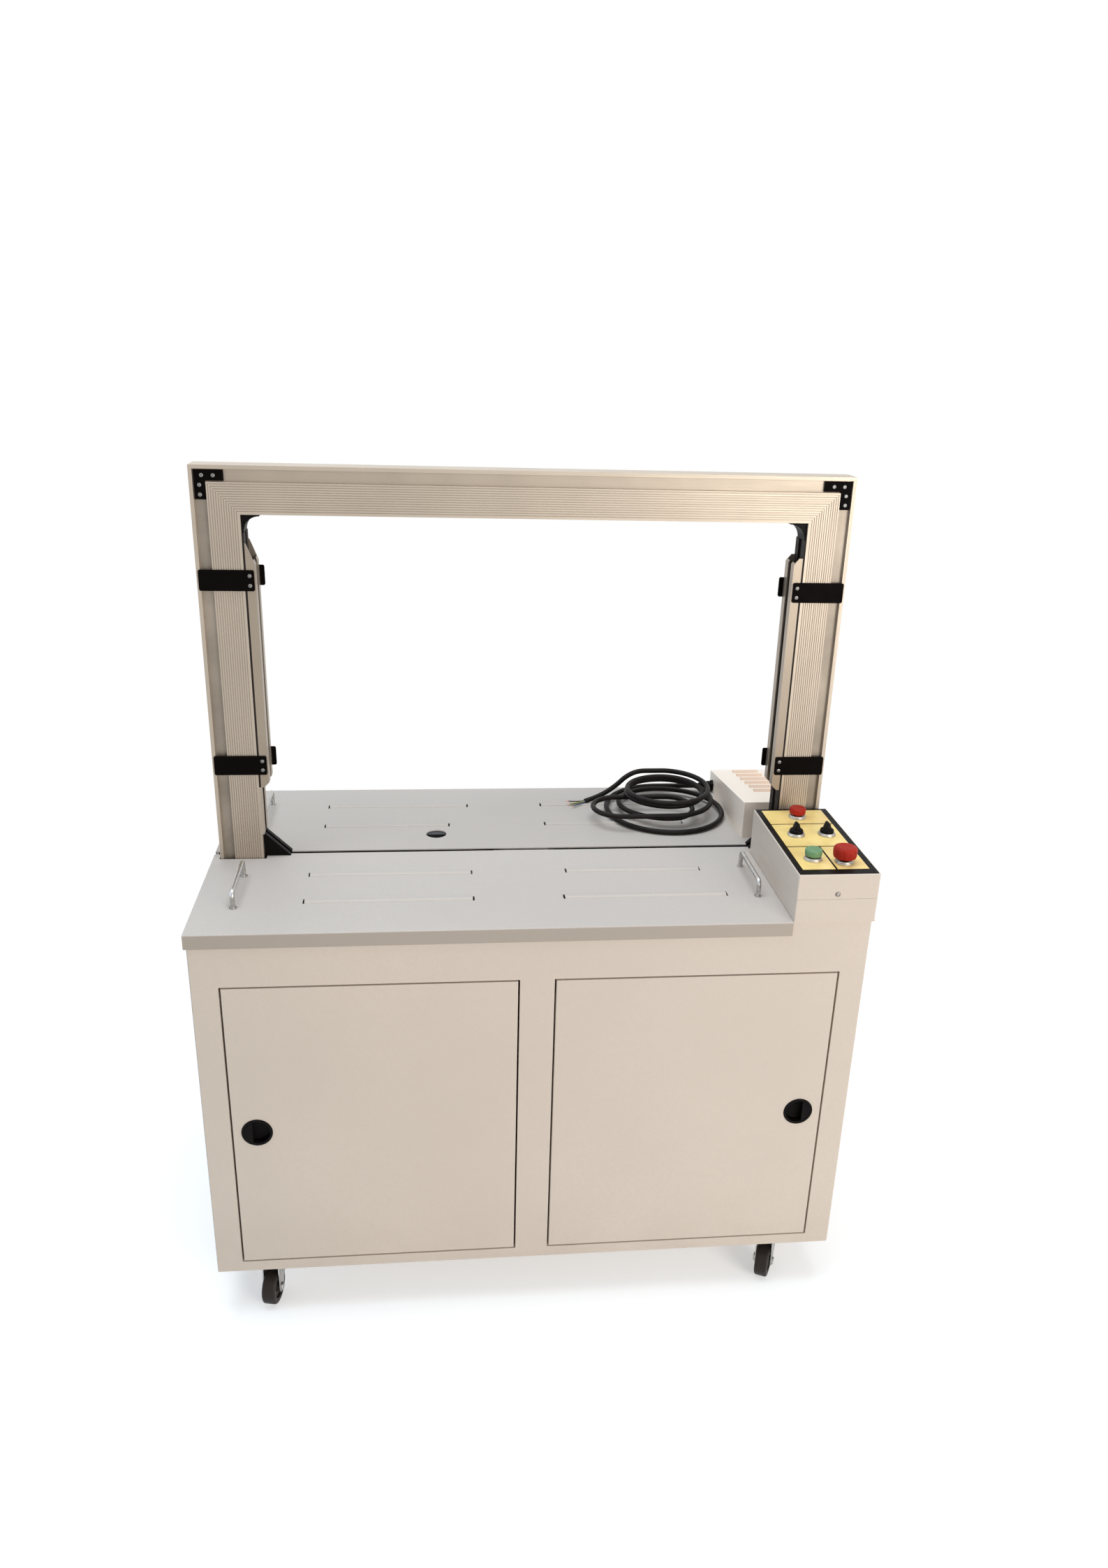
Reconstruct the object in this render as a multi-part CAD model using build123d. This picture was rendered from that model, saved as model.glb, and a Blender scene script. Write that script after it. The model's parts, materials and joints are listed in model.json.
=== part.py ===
"""Arch strapping machine: wheeled cabinet, table with a strap slit, arch track and control box.

Millimetres. +X is to the right seen from the front, +Y to the back, +Z up.
The origin is on the floor, under the middle of the machine: the slit is on Y = 0.
"""
from build123d import *
import os
from math import atan2, cos, degrees, dist, pi, radians, sin

# Cabinet
CABINET_W = 1108.0
CABINET_D = 633.0
CABINET_BOTTOM = 97.0
SHEET = 2.0
FLANGE = 18.0
CORNER_R = 3.0
SEAT_GAP = 0.3
JOINT_GAP = 0.3
RUN_GAP = 0.05

# Table
TABLE_Z = 765.0
TABLE_OVERHANG = 3.5
LIP = 25.0
LIP_R = 1.5
SLIT_W = 11.0
NOTCH_GAP = 2.0
LIFT_GAP = 1.0
BEAD_W = 13.0
BEAD_H = 2.5
BEAD_SLOT = 3.0
BEAD_SLOT_L = 17.0
BEAD_ROWS_FRONT = [(-100.0, -380.0, -102.0), (-206.0, -380.0, -102.0),
                   (-100.0, 68.0, 306.0), (-206.0, 54.0, 332.0)]
BEAD_ROWS_REAR = [(223.0, -370.0, -100.0), (122.0, -370.0, -138.0),
                  (223.0, 51.0, 319.0), (122.0, 51.0, 319.0)]
TABLE_HOLE_X = -161.0
TABLE_HOLE_Y = 77.0
TABLE_HOLE_R = 19.0
AIR_HOLE = 100.0
AIR_HOLE_Y = 130.0

# Bow handles on the table
HANDLE_L = 125.0
HANDLE_H = 28.0
HANDLE_R = 4.0
HANDLE_BEND = 9.0
HANDLE_FRONT = [(-493.0, -163.0), (386.0, -155.0)]
HANDLE_REAR = [(-484.0, 180.0)]

# Doors
DOOR_W = 475.5
DOOR_H = 546.0
DOOR_BOTTOM = 120.0
DOOR_INNER_X = 31.5
DOOR_GAP = 3.0
DOOR_DEPTH = 18.0
HINGE_INSET_X = 10.0
HINGE_INSET_Y = 7.0
HINGE_PIN_R = 3.0
CATCH_W = 28.0
CATCH_D = 12.0
CATCH_H = 40.0
CATCH_DROP = 26.0
PULL_X = 467.0
PULL_Z = 390.0
PULL_R = 26.0
PULL_CUP_R = 22.5
PULL_CUP_DEPTH = 14.0
PULL_RIM = 2.0

# Arch profile and track
ARCH_W = 1088.0
ARCH_H = 676.0
PROFILE_W = 76.0
PROFILE_D = 50.0
PROFILE_LIP = 6.0
RECESS_W = 20.0
RECESS_DEPTH = 7.0
PROFILE_WALL = 3.0
RIB_PITCH = 3.8
RIB_COUNT = 12
RIB_GROOVE_W = 1.5
RIB_GROOVE_DEPTH = 1.0
TRACK_W = 16.0
TRACK_DEPTH = 14.0
GATE_T = 3.0
GATE_GAP = 1.0
LINER_T = 3.5

# Fittings on the arch
BRACKET_ARM = 46.0
BRACKET_W = 17.0
BRACKET_T = 5.0
UPPER_GUIDE_LEG = 29.0
UPPER_GUIDE_W = 40.0
LOWER_GUIDE_LEG = 46.0
LOWER_GUIDE_W = 28.0
GUIDE_GROOVE_W = 8.0
GUIDE_GROOVE_DEPTH = 6.0
RAIL_REACH = 18.0
RAIL_LEG = 17.0
RAIL_T = 2.5
RAIL_BOTTOM_LEFT = 135.0
RAIL_BOTTOM_RIGHT = 121.0
RAIL_LENGTH = 420.0
RAIL_CHAMFER = 9.0
RAIL_TAPER_LEFT = (13.0, 34.0)
RAIL_TAPER_RIGHT = (9.0, 11.0)
CLAMP_H = 34.0
CLAMP_T = 3.0
CLAMP_OUTER_INSET = 3.0
CLAMP_REAR_REACH = 8.0
CLAMP_LOW_LEFT = 176.0
CLAMP_HIGH_LEFT = 495.0
CLAMP_LOW_RIGHT = 168.0
CLAMP_HIGH_RIGHT = 483.0
SCREW_R = 3.2
SCREW_H = 1.6

# Housings at the right of the table
HOUSING_W = 137.5
HOUSING_INSET = 1.6
ARCH_SPACE = 3.0
HOUSING_H = 40.0
COVER_TOP = 84.0
HOUSING_R = 2.5
VENT_SPACE = 14.0
VENT_INSET = 2.0
VENT_NEAR_H = 72.0
VENT_FAR_H = 38.0
LOUVRE_COUNT = 6
LOUVRE_FROM_FRONT = 83.0
LOUVRE_FROM_REAR = 30.0
LOUVRE_L = 53.0
LOUVRE_W = 13.0
LOUVRE_H = 4.5
LOUVRE_T = 1.2

# Control panel
PANEL_EDGE = 2.5
PANEL_T = 1.0
FIELD_T = 0.4
FIELD_INSET = 12.0
FIELD_W = 112.0
FIELD_DIVIDER = 69.0
FIELD_LINE = 3.5
FIELD_ROWS = [(216.4, 280.4), (115.4, 212.9), (19.4, 111.9)]
RED_AT = (69.0, 247.4)
KNOB_LEFT_AT = (43.0, 165.4)
KNOB_RIGHT_AT = (98.0, 165.4)
GREEN_AT = (41.0, 60.4)
ESTOP_AT = (90.0, 46.4)
BARREL_R = 11.0
BARREL_DROP = 32.0
BEZEL_R = 15.5
BEZEL_H = 5.0
STEM_R = 7.0
CAP_R = 14.5
CAP_H = 11.0
CAP_TRAVEL = 3.0
ESTOP_R = 20.0
ESTOP_H = 19.0
ESTOP_TRAVEL = 4.0
KNOB_R = 12.0
KNOB_BASE_H = 6.0
KNOB_GRIP_L = 25.0
KNOB_GRIP_W = 7.0
KNOB_GRIP_H = 11.0

# Casters
CASTER_INSET_X = 94.0
CASTER_INSET_Y = 57.0
CASTER_PLATE = 62.0
CASTER_PLATE_T = 3.0
WHEEL_R = 32.0
WHEEL_W = 24.0
CASTER_TRAIL = 26.0
CASTER_ANGLES = [258.0, 243.0, 160.0, 20.0]
AXLE_R = 5.0
FORK_T = 2.5
RACE_R = 21.0
RACE_H = 9.0

# Table support
BEAM_Y = 80.0
BEAM_W = 40.0
BEAM_H = 48.0
BEAM_T = 3.0
FOOT_T = 6.0
FOOT_W = 97.0
CHUTE_W = 28.0
CHUTE_H = 20.0

# Strapping head under the slit
BASE_X0 = -210.0
BASE_X1 = 260.0
BASE_Z = 500.0
BASE_T = 6.0
HANGER_W = 30.0
END_PLATE_X = 85.0
END_PLATE_T = 6.0
END_PLATE_W = 90.0
HEAD_BLOCK_W = 70.0
HEAD_BLOCK_BOTTOM = 700.0
HEAD_BLOCK_TOP = 752.0
PRESS_X = [-38.0, 0.0, 38.0]
PRESS_W = 16.0
PRESS_L = 24.0
PRESS_LIFT = 2.5
PRESS_TOP = 753.0
PRESS_COLLAR = 3.0
PRESS_COLLAR_Z = 690.0
PRESS_TEETH = 5
TOOTH_DEPTH = 0.8
SLIDE_L = 90.0
SLIDE_W = 56.0
SLIDE_T = 5.0
SLIDE_Z = 757.0
LEDGE_W = 5.0
CAM_Z = 655.0
CAM_R = 24.0
CAM_LOBE_R = 16.0
CAM_W = 12.0
CAM_LOBE_ANGLES = [205.0, 250.0, 295.0]
CAMSHAFT_R = 10.0
SHAFT_END = 8.0
GEARBOX_GAP = 34.0
GEARBOX_L = 65.0
GEAR_ENGAGE = 20.0
MOTOR_R = 48.0
MOTOR_L = 160.0
MOTOR_FINS = 16

# Feed rollers
FEED_X = -150.0
FEED_Z = 700.0
FEED_R = 30.0
PINCH_R = 15.0
STRAP_GAP = 0.6
ROLLER_W = 36.0
FEED_SHAFT_R = 8.0
PINCH_SHAFT_R = 5.0
FEED_PLATE_W = 70.0
FEED_PLATE_T = 6.0
FEED_CASE_W = 60.0
FEED_CASE_D = 48.0
FEED_CASE_H = 100.0
FEED_MOTOR_R = 23.5

# Reel
REEL_X = -340.0
REEL_Z = 305.0
REEL_R = 185.0
REEL_CORE_R = 100.0
REEL_FRONT_Y = -80.0
REEL_W = 190.0
REEL_T = 3.0
SPINDLE_R = 12.0
SPINDLE_COLLAR = 10.0
STAND_W = 110.0
STAND_T = 5.0
STAND_FOOT = 70.0
REEL_WINDOWS = 6

# Electrical gear and transformer
GEAR_T = 8.0
GEAR_W = 300.0
GEAR_LOW = 220.0
GEAR_H = 340.0
CONTACTORS = 4
CONTACTOR_PITCH = 60.0
CONTACTOR_W = 45.0
CONTACTOR_H = 80.0
CONTACTOR_D = 70.0
CONTACTOR_DROP = 50.0
TERMINAL_H = 30.0
TERMINAL_L = 260.0
BOARD_T = 4.0
BOARD_L = 240.0
BOARD_H = 90.0
CORE_INSET = 40.0
CORE_W = 80.0
CORE_L = 100.0
CORE_H = 90.0
WINDING_PROUD = 6.0

# Power cord
CORD_D = 10.0
COIL_X = 285.0
COIL_BACK_Y = [292.0, 279.0, 190.0, 262.0, 250.0, 272.0]
COIL_FRONT_Y = [56.0, 98.0, 84.0, 104.0, 90.0]
COIL_BACK_H = [13.0, 11.5, 27.5, 38.5, 49.0, 59.0]
COIL_FRONT_H = [5.4, 18.0, 28.0, 39.0, 50.0]
BIGHT_TURN = 2
BIGHT_L = 98.0
GLAND_L = 30.0
GLAND_R = 9.5
GLAND_NUT = 5.0
GLAND_COLLAR = 8.0
GLAND_TIP_R = 6.5
COIL_END_L = 12.0
TAIL_POINTS = [(242.0, 272.0, 824.0), (216.0, 268.0, 813.0), (196.0, 257.0, 797.0),
               (174.0, 248.0, 784.0), (151.0, 240.0, 775.0), (127.0, 233.0, 770.4)]
WIRE_R = 1.3
WIRE_L = 32.0
WIRE_SPLAY = [-26.0, 2.0, 27.0]
WIRE_SPREAD = 3.0

# What follows from the sizes above
HALF_W = CABINET_W / 2
HALF_D = CABINET_D / 2
TABLE_HALF_W = HALF_W + TABLE_OVERHANG
TABLE_HALF_D = HALF_D + TABLE_OVERHANG
PLATE_BOTTOM = TABLE_Z - SHEET
DECK_Z = PLATE_BOTTOM - SEAT_GAP
ARCH_TOP = TABLE_Z + ARCH_H
ARCH_OUT = ARCH_W / 2
ARCH_IN = ARCH_OUT - PROFILE_W
ARCH_IN_TOP = ARCH_TOP - PROFILE_W
ARCH_FACE = PROFILE_D / 2
BEAM_TOP = DECK_Z
BEAM_BOTTOM = BEAM_TOP - BEAM_H
CHUTE_TOP = PLATE_BOTTOM - 8.0
WALL_X = TABLE_HALF_W - HOUSING_W
HOUSING_FRONT_Y = -TABLE_HALF_D + HOUSING_INSET
HOUSING_REAR_Y = -ARCH_FACE - ARCH_SPACE
VENT_FRONT_Y = ARCH_FACE + VENT_SPACE
VENT_REAR_Y = TABLE_HALF_D - VENT_INSET
RED_XY = (WALL_X + RED_AT[0], HOUSING_FRONT_Y + RED_AT[1])
KNOB_LEFT_XY = (WALL_X + KNOB_LEFT_AT[0], HOUSING_FRONT_Y + KNOB_LEFT_AT[1])
KNOB_RIGHT_XY = (WALL_X + KNOB_RIGHT_AT[0], HOUSING_FRONT_Y + KNOB_RIGHT_AT[1])
GREEN_XY = (WALL_X + GREEN_AT[0], HOUSING_FRONT_Y + GREEN_AT[1])
ESTOP_XY = (WALL_X + ESTOP_AT[0], HOUSING_FRONT_Y + ESTOP_AT[1])
PANEL_Z = TABLE_Z + COVER_TOP
FACE_Z = PANEL_Z + PANEL_T + FIELD_T
BEZEL_TOP = FACE_Z + BEZEL_H


def block(x0, x1, y0, y1, z0, z1):
    """A box between two corners."""
    return Pos((x0 + x1) / 2, (y0 + y1) / 2, (z0 + z1) / 2) * Box(abs(x1 - x0), abs(y1 - y0), abs(z1 - z0))


def rod(start, axis, radius, length):
    """A round bar from a point along an axis."""
    plane = Plane(origin=start, z_dir=axis)
    return extrude(plane * Circle(radius), length)


def ring(start, axis, radius, bore, length):
    """A round bar with a bore."""
    plane = Plane(origin=start, z_dir=axis)
    return extrude(plane * (Circle(radius) - Circle(bore)), length)


def prism(points, axis, start, length):
    """An outline of (a, b) points extruded along X or Y."""
    if axis == "X":
        corners = [(start, a, b) for a, b in points]
        way = (1, 0, 0)
    else:
        corners = [(a, start, b) for a, b in points]
        way = (0, 1, 0)
    return extrude(make_face(Polyline(*corners, close=True)), amount=length, dir=way)


def save(shape, name):
    """Write one named sub-part, a single solid or a group of them."""
    solids = list(shape) if isinstance(shape, (list, tuple)) else [shape]
    flat = []
    for item in solids:
        flat.extend(item.solids())
    whole = flat[0] if len(flat) == 1 else Compound(children=flat)
    export_step(whole, f"parts/{name}.step")


def front_frame():
    """Sheet front with two door openings, folded back at its edges and round the openings."""
    front = -HALF_D
    shell = block(-HALF_W, HALF_W, front, front + SHEET + FLANGE, CABINET_BOTTOM, DECK_Z)
    upright = shell.edges().filter_by(Axis.Z).group_by(Axis.Y)[0]
    shell = fillet(upright, CORNER_R)
    inside = block(-HALF_W + SHEET, HALF_W - SHEET, front + SHEET, front + SHEET + FLANGE,
                   CABINET_BOTTOM + SHEET, DECK_Z - SHEET)
    frame = shell - inside
    for side in (-1, 1):
        inner = side * (DOOR_INNER_X - DOOR_GAP)
        outer = side * (DOOR_INNER_X + DOOR_W + DOOR_GAP)
        low = DOOR_BOTTOM - DOOR_GAP
        high = DOOR_BOTTOM + DOOR_H + DOOR_GAP
        frame += block(inner - side * SHEET, outer + side * SHEET, front + SHEET / 2,
                       front + SHEET + FLANGE, low - SHEET, high + SHEET)
        frame -= block(inner, outer, front - 1, front + SHEET + FLANGE + 1, low, high)
        for z in (low - SHEET, high):
            frame -= rod((side * hinge_x(), hinge_y(), z - 1), (0, 0, 1), HINGE_PIN_R + RUN_GAP, SHEET + 2)
    return frame


def hinge_x():
    return DOOR_INNER_X + HINGE_INSET_X


def hinge_y():
    return -HALF_D + HINGE_INSET_Y


def rear_panel():
    """Folded rear panel with a service opening, and the cover screwed over it."""
    rear = HALF_D
    shell = block(-HALF_W, HALF_W, rear - SHEET - FLANGE, rear, CABINET_BOTTOM, DECK_Z)
    upright = shell.edges().filter_by(Axis.Z).group_by(Axis.Y)[-1]
    shell = fillet(upright, CORNER_R)
    inside = block(-HALF_W + SHEET, HALF_W - SHEET, rear - SHEET - FLANGE, rear - SHEET,
                   CABINET_BOTTOM + SHEET, DECK_Z - SHEET)
    half_opening = HALF_W - 110
    opening = block(-half_opening, half_opening, rear - SHEET - 1, rear + 1,
                    CABINET_BOTTOM + 110, DECK_Z - 110)
    lap = 18.0
    cover = block(-half_opening - lap, half_opening + lap, rear, rear + TABLE_OVERHANG - 1.5,
                  CABINET_BOTTOM + 110 - lap, DECK_Z - 110 + lap)
    screws = []
    for i in range(5):
        x = -half_opening + i * half_opening / 2
        for z in (CABINET_BOTTOM + 110 - lap / 2, DECK_Z - 110 + lap / 2):
            screws.append(rod((x, rear + TABLE_OVERHANG - 1.5, z), (0, 1, 0), SCREW_R, 1.2))
    return [shell - inside - opening, cover] + screws


def side_panel(side):
    """Flat side sheet between the front and rear folds, with a foot flange."""
    depth = HALF_D - SHEET - FLANGE
    outer = side * HALF_W
    inner = side * (HALF_W - SHEET)
    wall = block(inner, outer, -depth, depth, CABINET_BOTTOM, DECK_Z)
    foot = block(side * (HALF_W - FLANGE), outer, -depth, depth, CABINET_BOTTOM, CABINET_BOTTOM + SHEET)
    return wall + foot


def floor_panel():
    """Floor sheet between the folded edges, turned up at the left and right."""
    x = HALF_W - FLANGE
    y = HALF_D - SHEET - FLANGE
    pan = block(-x, x, -y, y, CABINET_BOTTOM, CABINET_BOTTOM + SHEET)
    for side in (-1, 1):
        pan += block(side * (x - SHEET), side * x, -y, y, CABINET_BOTTOM, CABINET_BOTTOM + FLANGE)
    return pan


def table_support():
    """Two channel beams across the cabinet, the plates that the arch stands on, and the strap chutes."""
    pieces = []
    reach = HALF_W - SHEET
    for side in (-1, 1):
        near = side * BEAM_Y
        far = side * (BEAM_Y + BEAM_W)
        beam = block(-reach, reach, near, far, BEAM_BOTTOM, BEAM_TOP)
        beam -= block(-reach, reach, near + side * BEAM_T, far, BEAM_BOTTOM + BEAM_T, BEAM_TOP - BEAM_T)
        pieces.append(beam)
    for side in (-1, 1):
        edge = side * reach
        pieces.append(block(edge, edge - side * FOOT_W, -BEAM_Y - BEAM_W / 2, BEAM_Y + BEAM_W / 2,
                            BEAM_BOTTOM - FOOT_T, BEAM_BOTTOM))
    for x0, x1 in ((-ARCH_IN, FEED_X - FEED_PLATE_W / 2), (END_PLATE_X + END_PLATE_T, ARCH_IN)):
        floor = CHUTE_TOP - CHUTE_H
        pieces.append(block(x0, x1, -CHUTE_W / 2, CHUTE_W / 2, floor, floor + SHEET))
        for side in (-1, 1):
            pieces.append(block(x0, x1, side * (SLIT_W / 2 + 1), side * CHUTE_W / 2,
                                floor + SHEET, CHUTE_TOP))
    return pieces


def bead(y, x0, x1):
    """A pressed bead that packages slide on, rounded over and open at its two lanced ends."""
    length = x1 - x0
    half = Ellipse(BEAD_W / 2, BEAD_H)
    plane = Plane(origin=(x0, y, TABLE_Z), x_dir=(0, 1, 0), z_dir=(1, 0, 0))
    bar = extrude(plane * half, length)
    keep = block(x0, x1, y - BEAD_W, y + BEAD_W, TABLE_Z - SHEET / 2, TABLE_Z + BEAD_H + 1)
    return bar & keep


def bead_slots(y, x0, x1):
    """The narrow slots at the two ends of a bead."""
    cuts = []
    for x in (x0 - BEAD_SLOT, x1):
        cuts.append(block(x, x + BEAD_SLOT, y - BEAD_SLOT_L / 2, y + BEAD_SLOT_L / 2,
                          PLATE_BOTTOM - 1, TABLE_Z + 1))
    return cuts


def table_sheet(x0, x1, side, rows):
    """One half of the table top with its turned-down lips, beads and notches at the arch."""
    near = side * SLIT_W / 2
    far = side * TABLE_HALF_D
    body = block(x0, x1, near, far, TABLE_Z - LIP, TABLE_Z)
    outer = body.edges().filter_by(Axis.X).group_by(Axis.Z)[-1].sort_by(Axis.Y)
    body = fillet(outer[0] if side < 0 else outer[-1], LIP_R)
    hollow_right = x1 - SHEET if x1 > WALL_X else x1
    body -= block(x0 + SHEET, hollow_right, near, far - side * SHEET, TABLE_Z - LIP, PLATE_BOTTOM)
    body -= notch(side, -1)
    if x1 > WALL_X:
        body -= notch(side, 1)
    for y, a, b in rows:
        body += bead(y, a, b)
    for y, a, b in rows:
        for cut in bead_slots(y, a, b):
            body -= cut
    return body


def notch(side, hand):
    """Room for a post of the arch with its liner strips, and for its lower strap guide."""
    far = side * (ARCH_FACE + NOTCH_GAP)
    inner = ARCH_IN - LINER_T - LIFT_GAP
    post = block(hand * inner, hand * (ARCH_OUT + NOTCH_GAP), 0, far, TABLE_Z - LIP - 1, TABLE_Z + 1)
    guide = block(hand * (ARCH_IN - LOWER_GUIDE_LEG - JOINT_GAP), hand * ARCH_IN, 0,
                  side * (LOWER_GUIDE_W / 2 + JOINT_GAP), TABLE_Z - LIP - 1, TABLE_Z + 1)
    return post + guide


def front_table_plate():
    """Front half of the table, which lifts off over the strapping head."""
    return table_sheet(-TABLE_HALF_W, WALL_X - 0.5, -1, BEAD_ROWS_FRONT)


def rear_table_plate():
    """Rear half of the table, the full width, with a round hole and an air hole under the vent cover."""
    plate = table_sheet(-TABLE_HALF_W, TABLE_HALF_W, 1, BEAD_ROWS_REAR)
    plate -= rod((TABLE_HOLE_X, TABLE_HOLE_Y, PLATE_BOTTOM - 1), (0, 0, 1), TABLE_HOLE_R, SHEET + 2)
    mid = (WALL_X + TABLE_HALF_W) / 2
    plate -= block(mid - AIR_HOLE / 2, mid + AIR_HOLE / 2, AIR_HOLE_Y, AIR_HOLE_Y + AIR_HOLE,
                   PLATE_BOTTOM - 1, TABLE_Z + 1)
    return plate


def bow_handle(x, y):
    """A wire handle bowed up from the table along Y, with a washer foot at each end."""
    y0 = y - HANDLE_L / 2
    y1 = y + HANDLE_L / 2
    top = TABLE_Z + HANDLE_H
    path = FilletPolyline((x, y0, TABLE_Z), (x, y0, top), (x, y1, top), (x, y1, TABLE_Z),
                          radius=HANDLE_BEND)
    wire = sweep(Plane(origin=(x, y0, TABLE_Z), z_dir=(0, 0, 1)) * Circle(HANDLE_R), path=path)
    for foot in (y0, y1):
        wire += rod((x, foot, TABLE_Z), (0, 0, 1), HANDLE_R + 2.5, 1.5)
    return wire


def door(side):
    """A door pan: front sheet with folded edges, a round hole for its pull and holes for its pins."""
    front = -HALF_D
    x0 = side * DOOR_INNER_X
    x1 = side * (DOOR_INNER_X + DOOR_W)
    top = DOOR_BOTTOM + DOOR_H
    pan = block(x0, x1, front, front + DOOR_DEPTH, DOOR_BOTTOM, top)
    pan = fillet(pan.edges().filter_by(Axis.Z).group_by(Axis.Y)[0], SHEET - 0.5)
    pan -= block(x0 + side * SHEET, x1 - side * SHEET, front + SHEET, front + DOOR_DEPTH,
                 DOOR_BOTTOM + SHEET, top - SHEET)
    pan -= rod((side * PULL_X, front - 1, PULL_Z), (0, 1, 0), PULL_CUP_R + RUN_GAP, SHEET + 2)
    for z in (DOOR_BOTTOM, top - SHEET):
        pan -= rod((side * hinge_x(), hinge_y(), z - 1), (0, 0, 1), HINGE_PIN_R + RUN_GAP, SHEET + 2)
    return pan


def door_pull(side):
    """A recessed round finger pull: a rim on the door, a cup behind it and a lip to hook over."""
    x = side * PULL_X
    front = -HALF_D
    rim = rod((x, front - PULL_RIM, PULL_Z), (0, 1, 0), PULL_R, PULL_RIM)
    rim = fillet(rim.edges().group_by(Axis.Y)[0], PULL_RIM * 0.8)
    cup = rod((x, front, PULL_Z), (0, 1, 0), PULL_CUP_R, PULL_CUP_DEPTH)
    wall = 1.6
    pull = rim + cup
    pull -= rod((x, front, PULL_Z), (0, 1, 0), PULL_CUP_R - wall, PULL_CUP_DEPTH - wall)
    mouth = rod((x, front - PULL_RIM - 1, PULL_Z), (0, 1, 0), PULL_CUP_R - wall - 2, PULL_RIM + 2)
    lip = block(x + side * 7, x + side * PULL_R, front - PULL_RIM - 1, front + 1,
                PULL_Z - PULL_R, PULL_Z + PULL_R)
    return pull - (mouth - lip)


def door_hinge_pins():
    """A pin through the frame and the door at each top and bottom corner beside the centre stile."""
    pins = []
    head = 2.0
    low = DOOR_BOTTOM - DOOR_GAP
    high = DOOR_BOTTOM + DOOR_H + DOOR_GAP
    reach = SHEET + DOOR_GAP + SHEET + 2
    head_r = HINGE_PIN_R + 1.5
    for side in (-1, 1):
        x = side * hinge_x()
        y = hinge_y()
        upper = rod((x, y, high + SHEET - reach), (0, 0, 1), HINGE_PIN_R, reach)
        pins.append(upper + rod((x, y, high + SHEET), (0, 0, 1), head_r, head))
        lower = rod((x, y, low - SHEET), (0, 0, 1), HINGE_PIN_R, reach)
        lower += rod((x, y, low - SHEET - head), (0, 0, 1), head_r, head)
        pins.append(lower + rod((x, y, low), (0, 0, 1), head_r, DOOR_GAP - SEAT_GAP))
    return pins


def door_catches():
    """A magnetic catch behind the free edge of each door, on the fold of the frame."""
    catches = []
    back = -HALF_D + DOOR_DEPTH + JOINT_GAP
    for side in (-1, 1):
        edge = side * (DOOR_INNER_X + DOOR_W + DOOR_GAP)
        high = DOOR_BOTTOM + DOOR_H - CATCH_DROP
        case = block(edge, edge - side * CATCH_W, back, back + CATCH_D, high - CATCH_H, high)
        catches.append(fillet(case.edges().filter_by(Axis.X), 2))
    return catches


def profile_section():
    """Arch section: u runs from the outer edge to the inner edge, v is the depth, both from 0."""
    section = Pos(PROFILE_W / 2, 0) * Rectangle(PROFILE_W, PROFILE_D)
    lip_mid = PROFILE_LIP + RECESS_W / 2
    for face in (-1, 1):
        section -= Pos(lip_mid, face * PROFILE_D / 2) * Rectangle(RECESS_W, 2 * RECESS_DEPTH)
        for i in range(RIB_COUNT):
            u = PROFILE_LIP + RECESS_W + RIB_PITCH / 2 + 1 + i * RIB_PITCH
            section -= Pos(u, face * PROFILE_D / 2) * Rectangle(RIB_GROOVE_W, 2 * RIB_GROOVE_DEPTH)
    section -= Pos(PROFILE_W - TRACK_DEPTH / 2, 0) * Rectangle(TRACK_DEPTH, TRACK_W)
    near = PROFILE_WALL
    mid = PROFILE_LIP + RECESS_W + PROFILE_WALL
    far = PROFILE_W - TRACK_DEPTH - PROFILE_WALL
    shallow = PROFILE_D - 2 * RECESS_DEPTH - 2 * PROFILE_WALL
    deep = PROFILE_D - 2 * PROFILE_WALL - 2
    section -= Pos((near + mid) / 2, 0) * Rectangle(mid - near, shallow)
    section -= Pos((mid + far) / 2, 0) * Rectangle(far - mid, deep)
    return section


def arch_post(side):
    """An upright of the arch, mitred at the top."""
    plane = Plane(origin=(side * ARCH_OUT, 0, BEAM_BOTTOM), x_dir=(-side, 0, 0), z_dir=(0, 0, 1))
    bar = extrude(plane * profile_section(), ARCH_TOP - BEAM_BOTTOM)
    corner = [(side * ARCH_OUT, ARCH_TOP), (side * ARCH_IN, ARCH_IN_TOP), (side * (ARCH_IN - 5), ARCH_IN_TOP),
              (side * (ARCH_IN - 5), ARCH_TOP + 5), (side * ARCH_OUT, ARCH_TOP + 5)]
    return bar - prism(corner, "Y", -PROFILE_D, 2 * PROFILE_D)


def arch_top_beam():
    """The top of the arch, mitred at both ends."""
    plane = Plane(origin=(-ARCH_OUT, 0, ARCH_TOP), x_dir=(0, 0, -1), z_dir=(1, 0, 0))
    bar = extrude(plane * profile_section(), ARCH_W)
    for side in (-1, 1):
        past = side * (ARCH_OUT + 5)
        corner = [(side * ARCH_OUT, ARCH_TOP), (side * ARCH_IN, ARCH_IN_TOP),
                  (side * ARCH_IN, ARCH_IN_TOP - 5), (past, ARCH_IN_TOP - 5), (past, ARCH_TOP)]
        bar -= prism(corner, "Y", -PROFILE_D, 2 * PROFILE_D)
    return bar


def strap_gates():
    """Flexible strips that close the track along the posts and the top, and liners beside it on the posts."""
    strips = []
    top = ARCH_IN_TOP - UPPER_GUIDE_LEG
    low = TABLE_Z + LOWER_GUIDE_LEG
    for face in (-1, 1):
        y0 = face * GATE_GAP / 2
        y1 = face * TRACK_W / 2
        for side in (-1, 1):
            strips.append(block(side * ARCH_IN, side * (ARCH_IN + GATE_T), y0, y1, low, top))
            strips.append(block(side * (ARCH_IN - LINER_T), side * ARCH_IN, y1, face * ARCH_FACE, low, top))
        reach = ARCH_IN - UPPER_GUIDE_LEG
        strips.append(block(-reach, reach, y0, y1, ARCH_IN_TOP, ARCH_IN_TOP + GATE_T))
    return strips


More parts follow.
